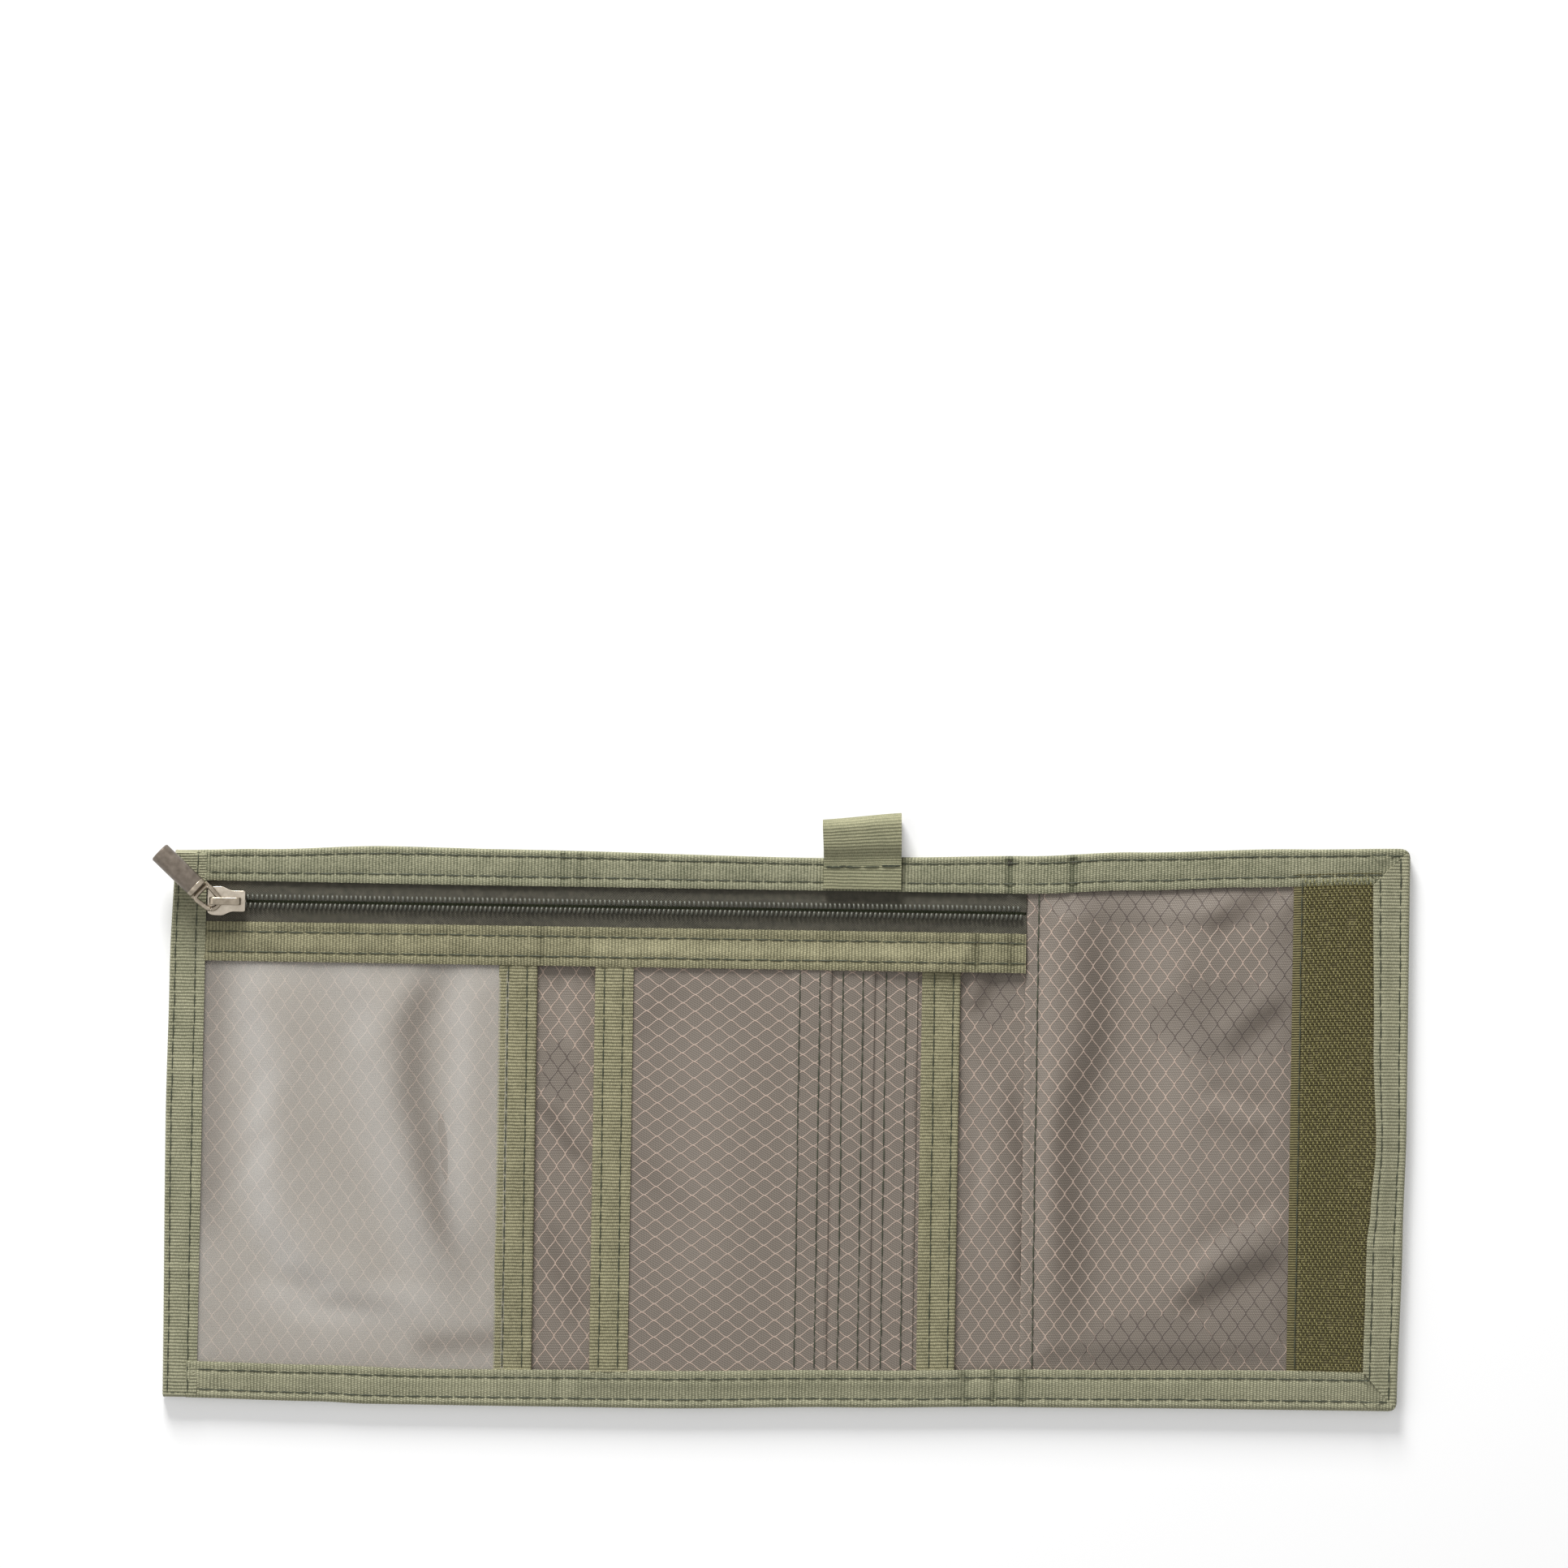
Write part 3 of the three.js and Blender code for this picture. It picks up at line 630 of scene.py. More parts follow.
# Zip coils. Two rows of nylon coil are sewn to the edges of the tapes. Each turn is a short bent
# rod that stands on the tape and hooks over towards the other row.
coil_pitch = 1.1 * mm
coil_rod = 0.27 * mm
coil_sides = 6
coil_slant = 0.22 * mm
coil_arch = [(1.50, 0.10), (1.48, 0.50), (1.26, 0.76), (0.80, 0.82), (0.51, 0.66), (0.50, 0.22)]

coil_finish = Finish("dark_nylon_coil")
coil_shade = coil_finish.cloud(2.5 * mm)
coil_tint = coil_finish.blend(coil_shade, tone(54, 56, 49), tone(98, 98, 86))
coil_finish.shade(Base_Color=coil_tint, Roughness=0.42)


def mesh_piece(name, points, faces, material):
    """A piece from its points and faces, with smooth shading."""
    shape = bpy.data.meshes.new(name)
    shape.from_pydata(points, [], faces)
    shape.materials.append(material)
    made = bpy.data.objects.new(name, shape)
    bpy.context.collection.objects.link(made)
    pick_up(made)
    bpy.ops.object.shade_smooth_by_angle(angle=math.radians(60))
    bpy.ops.object.mode_set(mode="EDIT")
    bpy.ops.mesh.select_all(action="SELECT")
    bpy.ops.mesh.normals_make_consistent(inside=False)
    bpy.ops.object.mode_set(mode="OBJECT")
    return made


def tube_turn(line, radius, sides):
    """The points and faces of one closed rod along a short line."""
    line = np.array(line, float)
    along = np.gradient(line, axis=0)
    along /= np.linalg.norm(along, axis=1)[:, None]
    side = np.cross(along, (1.0, 0.02, 0.03))
    side /= np.linalg.norm(side, axis=1)[:, None]
    up = np.cross(along, side)
    angles = np.arange(sides) * 2 * math.pi / sides
    spokes = np.cos(angles)[:, None] * side[:, None] + np.sin(angles)[:, None] * up[:, None]
    rings = line[:, None] + radius * spokes
    faces = []
    for ring in range(len(line) - 1):
        for spoke in range(sides):
            start, after = ring * sides + spoke, ring * sides + (spoke + 1) % sides
            faces.append((start, after, after + sides, start + sides))
    faces.append(tuple(range(sides))[::-1])
    faces.append(tuple((len(line) - 1) * sides + spoke for spoke in range(sides)))
    return rings.reshape(-1, 3), faces


def repeat_shape(shape_points, shape_faces, places):
    """Copies of one small shape, moved to each place."""
    points = (shape_points[None] + np.asarray(places)[:, None]).reshape(-1, 3)
    count = len(shape_points)
    faces = [tuple(corner + turn * count for corner in face)
             for turn in range(len(places)) for face in shape_faces]
    return points, faces


for coil_node, side in (("zip_coil_upper", 1), ("zip_coil_lower", -1)):
    coil_low, coil_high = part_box(coil_node)
    turns = int((coil_high.x - coil_low.x) / coil_pitch)
    bends = np.linspace(-0.5, 0.5, len(coil_arch)) * coil_slant
    arch = [(bend, side * out * mm, up * mm) for bend, (out, up) in zip(bends, coil_arch)]
    turn_points, turn_faces = tube_turn(arch, coil_rod, coil_sides)
    starts = [(coil_low.x + (turn + 0.5) * coil_pitch, chain_y, coil_low.z) for turn in range(turns)]
    coil_points, coil_faces = repeat_shape(turn_points, turn_faces, starts)
    coil = mesh_piece(coil_node.replace("zip_coil", "coil_row"), coil_points, coil_faces,
                      coil_finish.material)
    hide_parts(coil_node)
    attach(coil, "wallet")

# Grosgrain tapes of the pockets. Each is a ribbed tape folded over an edge and sewn down with two
# rows of dark thread. The zip's seam is covered by the same tape, laid flat.
rib_pitch = 0.76 * mm
rib_depth = 0.035 * mm
fold_round = 0.35 * mm
tape_skin = 0.28 * mm
stitch_dip = 0.26 * mm
stitch_pitch = 3.7 * mm
stitch_length = 3.8 * mm
thread_radius = 0.165 * mm


def grosgrain(name, dark, light):
    finish = Finish(name)
    run, width = finish.surface()
    sway = finish.cloud(3 * mm, 2) * 1.2
    rib = run / (rib_pitch / mm) + sway * 0.35
    ribs = (rib * (2 * math.pi)).sin()
    dots = (width * (2 * math.pi / 0.42) + rib.floor() * 2.0).sin()
    yarn = ribs * 0.5 + dots * 0.4 * (ribs * 0.5 + 0.7)
    blotch = finish.cloud(5 * mm, 3)
    fine = finish.cloud(0.5 * mm, 2)
    share = yarn * 0.46 + blotch * 0.45 + fine * 0.7 - 0.08
    # Painted shade: the mask on the points darkens the tape in its pinched creases and on whole sides, and
    # below 0 paints it lighter.
    painted_shade = finish.mark("painted_shade")
    finish.shade(Base_Color=finish.blend(share - painted_shade * 0.55, dark, light), Roughness=0.82)
    finish.shade(Normal=finish.bump(yarn, 0.1 * mm))
    return finish.material


edge_grosgrain = grosgrain("sage_grosgrain", tone(78, 81, 58), tone(184, 181, 150))
inner_grosgrain = grosgrain("yellow_sage_grosgrain", tone(72, 70, 46), tone(180, 174, 138))

thread_finish = Finish("dark_thread")
thread_twist = thread_finish.cloud(0.5 * mm)
thread_tint = thread_finish.blend(thread_twist, tone(34, 38, 28), tone(72, 76, 56))
thread_finish.shade(Base_Color=thread_tint, Roughness=0.7)

bpy.ops.object.select_all(action="DESELECT")
bpy.ops.mesh.primitive_uv_sphere_add(segments=6, ring_count=6, radius=1)
stitch_shape = bpy.context.object
stitch_points = points_of(stitch_shape)[:, [2, 1, 0]]
stitch_faces = [tuple(face.vertices)[::-1] for face in stitch_shape.data.polygons]
bpy.data.objects.remove(stitch_shape)


def sew(name, lines, height=None, pitch=stitch_pitch, length=stitch_length):
    """Stitches along straight lines. A line is its start, its end and its level; height adds the
    cloth's own relief, and each stitch sinks at both ends."""
    all_points, all_faces, count = [], [], 0
    chance = np.random.default_rng(len(name))
    for (x0, y0), (x1, y1), level in lines:
        run = math.hypot(x1 - x0, y1 - y0)
        number = max(1, int(run / pitch))
        across = np.array([-(y1 - y0), x1 - x0]) / run
        for turn in range(number):
            middle = (turn + 0.5) * run / number
            stretch = stitch_points[:, 0] * min(length, 1.03 * run / number) / 2
            side = stitch_points[:, 1] * thread_radius + chance.normal(0, 0.04 * mm)
            share = (middle + stretch) / run
            x = x0 + (x1 - x0) * share + across[0] * side
            y = y0 + (y1 - y0) * share + across[1] * side
            lift = height(x, y) if height else 0
            z = level + lift + 0.12 * mm + stitch_points[:, 2] * thread_radius
            z = z - 0.07 * mm * stitch_points[:, 0] ** 4
            x, y = settle(x, y)
            all_points.append(np.stack([x, y, z], axis=1))
            all_faces += [tuple(corner + count for corner in face) for face in stitch_faces]
            count += len(stitch_points)
    seam = mesh_piece(name, np.concatenate(all_points), all_faces, thread_finish.material)
    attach(seam, "wallet")
    return seam


def pillow(distance, seams):
    """The tape's top dips where a seam holds it down."""
    dip = sum(np.exp(-((distance - seam) / (0.6 * mm)) ** 2) for seam in seams)
    return -stitch_dip * dip


def folded_profile(width, base, top, seams, under):
    """Points across a folded tape, from its upper edge round the fold and under to its lower edge,
    as the distance from the fold and the level."""
    upper = np.linspace(width, fold_round, 13)
    level = top + pillow(upper, seams)
    level[0] -= 0.1 * mm
    arc = np.linspace(math.pi / 2, 3 * math.pi / 2, 7)[1:-1]
    middle = (top + base) / 2
    half = (top - base) / 2
    bend = [(fold_round * (1 + math.cos(turn)), middle + half * math.sin(turn)) for turn in arc]
    lower = np.linspace(fold_round, under, 4)
    flat = [(distance, base) for distance in lower]
    return np.array([*zip(upper, level), *bend, *flat])


def ribbed_tape(name, start, end, inward, profile, material, creases=(), painted_light=0.0):
    """A tape along a straight edge. Its cross ribs are real ridges, and creases pinch it, with painted
    shadow where they pinch down. The last argument paints the whole tape lighter as painted light,
    or darker below 0 as painted shade."""
    start, end, inward = np.array(start, float), np.array(end, float), np.array(inward, float)
    run = np.hypot(*(end - start))
    rows = steps(0, run, rib_pitch / 2)
    spread = path_lengths(profile)
    tape, row, column = woven_grid(name, rows, spread)
    along = (end - start) / run
    slope = np.gradient(profile, axis=0)
    slope /= np.hypot(*slope.T)[:, None]
    outward = np.stack([slope[:, 1], -slope[:, 0]], axis=1)
    ridge = rib_depth * np.where(row % 2 == 0, 1, -1)
    distance = profile[column, 0] + outward[column, 0] * ridge
    level = profile[column, 1] + outward[column, 1] * ridge
    on_top = column < 13
    shadow = np.zeros(len(row))
    for place, width, depth in creases:
        pinch = np.exp(-((rows[row] - place * mm) / (width * mm)) ** 2)
        level = level + np.where(on_top, depth * mm * pinch, 0)
        shadow = np.maximum(shadow, pinch * max(0, -depth) * 2.0)
    paint_mark(tape, "painted_shade", np.minimum(shadow, 1) - painted_light)
    flat = start + along * rows[row][:, None] + inward * distance[:, None]
    put_points(tape, np.column_stack([flat, level]))
    return tape


pocket_tape_seams = {
    "window_edge_tape": (-1, (2.4, 6.9)),
    "card_panel_left_tape": (1, (2.2, 6.6)),
    "card_panel_right_tape": (-1, (1.7, 6.1)),
}
for tape_node, (side, seam_places) in pocket_tape_seams.items():
    tape_low, tape_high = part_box(tape_node)
    seams = [place * mm for place in seam_places]
    fold_x = tape_low.x if side > 0 else tape_high.x
    width = tape_high.x - tape_low.x
    profile = folded_profile(width, tape_low.z, tape_high.z, seams, width)
    ends = [(fold_x, tape_low.y - 0.6 * mm), (fold_x, tape_high.y + 0.6 * mm)]
    if side < 0:
        ends.reverse()
    tape = ribbed_tape("grosgrain_" + tape_node, *ends, (side, 0), profile, inner_grosgrain)
    points = points_of(tape)
    settle_points(points)
    put_points(tape, points)
    give_thickness(tape, tape_skin, -1, inner_grosgrain)
    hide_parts(tape_node)
    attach(tape, "wallet")
    seam_xs = [fold_x + side * seam for seam in seams]
    lines = [((seam_x, tape_low.y), (seam_x, tape_high.y), tape_high.z - stitch_dip) for seam_x in seam_xs]
    sew("stitching_" + tape_node, lines)

flat_low, flat_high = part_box("zip_edge_tape")
flat_seams = (2.3 * mm, 7.0 * mm)
flat_across = np.linspace(0, flat_high.y - flat_low.y, 14)
flat_profile = np.stack([flat_across, flat_high.z + pillow(flat_across, flat_seams)], axis=1)
flat_profile[[0, -1], 1] -= 0.12 * mm
cards_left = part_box("card_panel_left_tape")[0].x
cards_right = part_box("card_panel_right_tape")[1].x


def on_cards(x):
    """1 where the stacked card slots lie underneath, and 0 away from them."""
    return ease((x - cards_left + 2 * mm) / (2 * mm)) * ease((cards_right + 2 * mm - x) / (2 * mm))


def past_fold(distance):
    """0 near a tape's fold and 1 at its inner edge, where it climbs onto thicker cloth."""
    return ease((distance - 3 * mm) / (4 * mm))


def cover_rise(x, y):
    return past_fold(flat_high.y - y) * (0.25 * mm + 0.85 * mm * on_cards(x))


# The cover is painted darker as painted shade, and its creases that pinch down get painted shadow.
zip_cover = ribbed_tape("grosgrain_zip_cover", (flat_high.x, flat_high.y),
                        (flat_low.x - 1 * mm, flat_high.y), (0, -1), flat_profile, inner_grosgrain,
                        creases=[(3.4, 0.9, -0.2), (11.6, 1.0, -0.22), (21, 1.0, 0.15), (102.3, 0.8, -0.1),
                                 (113.5, 0.8, -0.12)], painted_light=-0.16)
points = points_of(zip_cover)
points[:, 2] += cover_rise(points[:, 0], points[:, 1])
settle_points(points)
put_points(zip_cover, points)
give_thickness(zip_cover, flat_high.z - flat_low.z - 0.1 * mm, -1, inner_grosgrain)
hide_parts("zip_edge_tape")
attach(zip_cover, "wallet")
sew("stitching_zip_cover", [((flat_low.x, flat_high.y - seam), (flat_high.x, flat_high.y - seam),
                             flat_high.z - stitch_dip) for seam in flat_seams], height=cover_rise)

# Window. A sheet of frosted plastic film lies over the lining as the front of the left pocket. It
# is caught in the bindings at the left and the bottom, and it has long soft waves from use.
film_step = 1.0 * mm
film_waves = [
    ([(17, 103), (19, 90), (22, 78), (22, 62), (22, 50), (24, 41), (29, 33), (38, 26), (54, 20)], 7.5, 0.6),
    ([(38, 103), (45, 92), (46, 80), (50, 64), (54, 48), (60, 34), (66, 25)], 6.0, 0.4),
    ([(60, 103), (57, 84), (57.5, 72), (60.5, 58), (64, 43), (70, 29)], 6.0, -0.6),
    ([(68, 103), (68.5, 84), (68, 66), (68, 50), (70, 34)], 4.5, 0.4),
]

film_finish = Finish("frosted_film")
film_haze = film_finish.cloud(14 * mm, 2)
# Painted shade and painted reflection: two masks on the points blend the film to a darker tone in its shaded
# hollows and to near white on its lit crests, and change its alpha a little.
film_painted_shade = film_finish.mark("painted_shade")
film_painted_highlight = film_finish.mark("painted_highlight")
film_tint = film_finish.blend(film_haze, tone(218, 212, 202), tone(236, 231, 222))
film_tint = film_finish.blend(film_painted_shade * 0.75, film_tint, tone(160, 153, 144))
film_finish.shade(Base_Color=film_finish.blend(film_painted_highlight * 0.7, film_tint, tone(253, 251, 247)))
film_finish.shade(Roughness=0.55, Alpha=0.24 + film_painted_highlight * 0.03 - film_painted_shade * 0.05, IOR=1.45)

film_low, film_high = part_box("id_window")


def film_relief(x, y):
    held = hold_edges(x, y, film_low, film_high, 12 * mm)
    return held * (0.6 * mm + sum(fold(x, y, *wave_line) for wave_line in film_waves))


window = laid_cloth("window_film", film_low, film_high, film_step, film_high.z - film_low.z,
                    film_finish.material, film_relief)
# Painted reflection along three wave crests and near the bottom; painted shade in one wave's hollow, along
# the left edge and at the bottom right.
tint_along(window, "painted_highlight", [(film_waves[0][0], 5.0, 0.8), (film_waves[1][0], 5.5, 0.5),
                            (film_waves[3][0], 4.0, 0.6), ([(18, 25), (46, 22), (68, 24)], 6, 0.5)])
tint_along(window, "painted_shade", [(film_waves[2][0], 4.5, 1.0), ([(9.5, 112), (9.5, 36)], 4.5, 0.8),
                           ([(58, 13), (80, 15)], 3.0, 0.8)])
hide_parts("id_window")
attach(window, "wallet")

# Card panel. Three stepped slots of ripstop, turned on its side, lie on a backing of the same
# cloth. Each slot's mouth is a hem folded under and sewn with two rows, and opens to the right.
hem_depth = 8.6 * mm
hem_seams = (7.3 * mm, 2.6 * mm)
hem_rise = 0.22 * mm
slot_cloth = 0.24 * mm
slot_step_y = 1.3 * mm
slot_puff = 0.10 * mm
backing_step = 1.2 * mm

back_low, back_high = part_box("card_panel")
card_backing = laid_cloth("card_backing", back_low, back_high, backing_step, back_high.z - back_low.z,
                          ripstop_wide)
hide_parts("card_panel")
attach(card_backing, "wallet")


def hem_profile(low, high, depth, rise):
    """Points across a cloth whose right edge is folded under, as the place and the level."""
    rise_at = high.x - depth
    xs = np.concatenate([steps(low.x, rise_at - 1 * mm, 1.5 * mm),
                         steps(rise_at - 0.6 * mm, high.x - rise, 0.7 * mm)])
    level = low.z + rise * ease((xs - rise_at + 1 * mm) / (1.2 * mm)) + 0.02 * mm
    turn = np.linspace(math.pi / 2, -math.pi / 2, 5)[1:]
    bend = [(high.x - rise + rise * math.cos(angle), low.z + rise / 2 + rise / 2 * math.sin(angle))
            for angle in turn]
    back = [(x, low.z) for x in (high.x - 0.4 * depth, rise_at + 0.5 * mm)]
    return np.array([*zip(xs, level), *bend, *back])


for number in (1, 2, 3):
    slot_low, slot_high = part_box("card_slot_%d" % number)
    profile = hem_profile(slot_low, slot_high, hem_depth, hem_rise)
    spread = slot_low.x + path_lengths(profile)
    reach_down = slot_low.y - 1.5 * mm
    ys = steps(reach_down, zip_edge_low + 1.4 * mm, slot_step_y)
    slot, row, column = woven_grid("card_slot_cloth_%d" % number, spread, ys)
    x, z = profile[row, 0], profile[row, 1]
    near_mouth = ease((x - slot_high.x + 12 * mm) / (12 * mm))
    puff = slot_puff * np.sin(ys[column] / (6.1 * mm) + number) * near_mouth
    x, y = settle(x, ys[column])
    put_points(slot, np.stack([x, y, z + puff * (row < len(profile) - 6)], axis=1))
    give_thickness(slot, slot_cloth, 1, ripstop_wide)
    # Painted shade along two creases and a broad painted highlight down the slots.
    tint_along(slot, "painted_shade", [([(108, 86), (119, 100)], 4, 0.5), ([(107, 58), (125, 45)], 4, 0.45)])
    tint_along(slot, "painted_highlight", [([(124, 22), (126, 92)], 9, 0.5)])
    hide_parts("card_slot_%d" % number)
    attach(slot, "wallet")
    hem_top = slot_low.z + slot_cloth + hem_rise
    seam_xs = [slot_high.x - seam for seam in hem_seams]
    lines = [((seam_x, slot_low.y), (seam_x, slot_high.y), hem_top) for seam_x in seam_xs]
    sew("stitching_card_slot_%d" % number, lines)

# Right pocket. A panel of ripstop covers the right flap and opens to the left, at a hem sewn with
# one row. Long creases run down it beside the fold and across its outer half.
pocket_step = 1.0 * mm
pocket_hem = 5.0 * mm
pocket_seam = 2.55 * mm
pocket_creases = [
    ([(215, 120), (217, 92), (211, 62), (213, 18)], 7.0, -0.85),
    ([(230, 118), (234, 88), (232, 60), (234, 24)], 9.0, 0.9),
    ([(242.9, 112.0), (256.5, 122.8)], 4.0, -0.35),
    ([(246.6, 83.5), (252.8, 88.9), (261.2, 95.4)], 4.0, -0.4),
    ([(235.7, 100.3), (246.6, 83.5)], 4.5, -0.3),
    ([(242.5, 72.8), (257.4, 66.7)], 4.0, -0.4),
    ([(236.9, 24.1), (249.5, 30.6), (262.1, 36.1)], 4.5, -0.5),
    ([(240, 34), (252, 41), (262, 47)], 4.5, 0.3),
]

pocket_low, pocket_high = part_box("right_pocket_panel")
strip_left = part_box("hook_strip")[0].x


def pocket_relief(x, y):
    inside = np.minimum(np.minimum(x - hem_x - 1 * mm, strip_left + 3 * mm - x),
                        np.minimum(y - band_low, band_high - y))
    held = ease(inside / (7 * mm))
    return held * (0.9 * mm + sum(fold(x, y, *crease) for crease in pocket_creases))


pocket_cloth = 0.3 * mm
pocket_level = pocket_high.z - pocket_cloth
pocket_right = pocket_high.x
pocket_xs = np.concatenate([[hem_x + pocket_hem, hem_x + 0.5 * pocket_hem, hem_x + 0.3 * mm], [hem_x],
                            steps(hem_x + 0.3 * mm, pocket_right, pocket_step)])
pocket_zs = np.concatenate([[pocket_low.z] * 3, [(pocket_low.z + pocket_level) / 2],
                            np.full(len(pocket_xs) - 4, pocket_level)])
pocket_spread = path_lengths(np.stack([pocket_xs, pocket_zs], axis=1))
pocket_ys = steps(pocket_low.y, pocket_high.y, pocket_step)
pocket, row, column = woven_grid("right_pocket_cloth", pocket_spread, pocket_ys)
x, y, z = pocket_xs[row], pocket_ys[column], pocket_zs[row]
z = z + np.where(row > 3, pocket_relief(x, y), 0)
z = z + np.where(row > 3, -0.12 * mm * np.exp(-((x - hem_x - pocket_seam) / (0.6 * mm)) ** 2), 0)
x, y = settle(x, y)
put_points(pocket, np.stack([x, y, z], axis=1))
give_thickness(pocket, pocket_cloth, 1, ripstop_tall)
# Painted sheen in patches, painted shade along the creases' hollows, and painted highlight on a broad ridge,
# beside the hem and at the top.
mark_sheen(pocket, [(236, 119, 32, 5), (248, 92, 18, 9), (254, 29, 11, 15), (232, 15, 16, 8),
                    (262, 108, 5, 12)])
tint_along(pocket, "painted_shade", [(pocket_creases[0][0], 5.5, 1.0), (pocket_creases[2][0], 3.5, 0.8),
                           (pocket_creases[3][0], 3.2, 0.9), (pocket_creases[4][0], 3.5, 0.5),
                           (pocket_creases[5][0], 3.5, 0.5), (pocket_creases[6][0], 4.0, 0.9)])
tint_along(pocket, "painted_highlight", [([(238, 26), (243, 60), (242, 95)], 11, 0.6), ([(205, 30), (205, 112)], 2.2, 0.5),
                            ([(228, 112), (234, 100)], 6, 0.5), ([(262, 110), (262, 100)], 4, 0.4)])
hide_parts("right_pocket_panel")
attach(pocket, "wallet")
pocket_seam_x = hem_x + pocket_seam
sew("stitching_right_pocket", [((pocket_seam_x, band_low), (pocket_seam_x, band_high), pocket_high.z)],
    height=pocket_relief)

# Hook strip. A woven nylon tape with rows of small hooks is sewn to the right flap. A plain edge
# with one seam runs down its left side, and the binding covers its right side.
hook_rib = 0.57 * mm
hook_row = 0.86 * mm
hook_column = 1.05 * mm
hook_wire = 0.12 * mm
hook_tall = 0.68 * mm
hook_drawn_tall = 0.75 * mm
hook_left_out = 0.06
hook_stray = 0.07 * mm
hook_edge = 2.3 * mm

hook_finish = Finish("olive_hook_nylon")
hook_width = hook_finish.surface()[1]
hook_bands = (hook_width * (2 * math.pi / (hook_rib / mm))).sin()
hook_fleck = hook_finish.cloud(0.8 * mm, 3)
hook_finish.shade(Base_Color=hook_finish.blend(
    hook_bands * 0.22 + hook_fleck, tone(62, 56, 30), tone(124, 116, 74)), Roughness=0.6)
hook_finish.shade(Normal=hook_finish.bump(hook_bands, 0.08 * mm))

hook_low, hook_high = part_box("hook_strip")
hook_ground = hook_low.z + 0.5 * mm
hook_xs = steps(hook_low.x, hook_high.x + 2.2 * mm, 1.5 * mm)
hook_ys = steps(hook_low.y - 1 * mm, hook_high.y + 3 * mm, hook_rib / 2)
hook_tape, row, column = woven_grid("hook_tape", hook_xs, hook_ys)
level = hook_ground + 0.07 * mm * np.where(column % 2 == 0, 1, -1)
x, y = settle(hook_xs[row], hook_ys[column])
put_points(hook_tape, np.stack([x, y, level], axis=1))
give_thickness(hook_tape, 0.4 * mm, -1, hook_finish.material)
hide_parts("hook_strip")
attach(hook_tape, "wallet")

hook_tip_finish = Finish("hook_tips")
hook_tip_finish.shade(Base_Color=hook_tip_finish.blend(
    hook_tip_finish.cloud(1.1 * mm), tone(96, 90, 46), tone(172, 166, 108)), Roughness=0.45)
hook_line = [(0, -0.28, -0.1), (0, -0.26, 0.45), (0, -0.05, 0.72), (0, 0.24, 0.66), (0, 0.30, 0.40)]
hook_points, hook_faces = tube_turn(np.array(hook_line) * mm * (1, 1, hook_tall / hook_drawn_tall),
                                    hook_wire, 5)
hook_places = []
chance = np.random.default_rng(12)
for line in range(int((hook_high.y - hook_low.y + 2 * mm) / hook_row)):
    for place in range(int((hook_high.x - hook_low.x - hook_edge) / hook_column)):
        across = (place + 0.35 + 0.5 * (line % 2)) * hook_column
        x = hook_low.x + hook_edge + across + chance.normal(0, hook_stray)
        y = hook_low.y + (line + 0.3) * hook_row + chance.normal(0, hook_stray)
        if chance.random() > hook_left_out:
            hook_places.append((x, y, hook_ground))
hook_places = np.array(hook_places)
settle_points(hook_places)
hook_points, hook_faces = repeat_shape(hook_points, hook_faces, hook_places)
hooks = mesh_piece("nylon_hooks", hook_points, hook_faces, hook_tip_finish.material)
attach(hooks, "wallet")
hook_seam_x = hook_low.x + 1.9 * mm
sew("stitching_hook_strip", [((hook_seam_x, hook_low.y), (hook_seam_x, hook_high.y + 2 * mm),
                              hook_ground + 0.08 * mm)])

# Bindings. A grosgrain tape is folded over the top, right and bottom edges in one run, with its
# corners folded to a mitre. A second tape covers the left edge and the ends of the first.
binding_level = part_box("edge_binding")[1].z
binding_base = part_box("edge_binding")[0].z
binding_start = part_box("edge_binding")[0].x
edge_round = 1.1 * mm
side_lift = {"top": 0.2 * mm, "right": 0.9 * mm, "bottom": 0.4 * mm, "left": 0.15 * mm}
# Painted light and shade on whole sides: the top is painted darker, the right and the bottom lighter.
side_painted_light = {"top": -0.2, "right": 0.2, "bottom": 0.2}
cards_lift = 0.4 * mm
lap_lift = 0.12 * mm
side_seams = {"top": (1.6, 6.3), "right": (2.2, 6.9), "bottom": (2.1, 6.7), "left": (1.4, 6.2)}
# Creases with a negative depth pinch the tape down and get painted shadow in the pinch.
binding_creases = {
    "top": [(3, 0.9, 0.2), (86, 0.8, -0.12), (90, 0.8, -0.12), (190.6, 0.9, -0.3), (194, 1.0, 0.2),
            (205.4, 1.0, -0.3)],
    "right": [(14, 1.5, 0.12), (70, 1.6, -0.06), (92, 1.4, 0.15)],
    "bottom": [(86, 0.8, -0.12), (92, 0.9, -0.12), (182, 1.0, -0.25), (188.7, 0.9, -0.3),
               (195.5, 1.2, -0.25)],
}


def binding_profile(seams, lift):
    """Points across a folded binding, from its inner edge on top to its inner edge underneath. lift
    raises the inner edge where it lies on a thicker piece."""
    distance = np.linspace(band, edge_round, 13)
    level = binding_level + pillow(distance, seams) + lift * past_fold(distance)
    level[0] -= 0.12 * mm
    middle = (binding_level + binding_base) / 2
    half = (binding_level - binding_base) / 2
    turn = np.linspace(math.pi / 2, 3 * math.pi / 2, 9)[1:-1]
    shape = [(edge_round * (1 + math.copysign(abs(math.cos(t)) ** 0.8, math.cos(t))),
              middle + half * math.copysign(abs(math.sin(t)) ** 0.8, math.sin(t))) for t in turn]
    under = [(place, binding_base + rib_depth) for place in np.linspace(edge_round, band, 4)]
    return np.array([*zip(distance, level), *shape, *under])


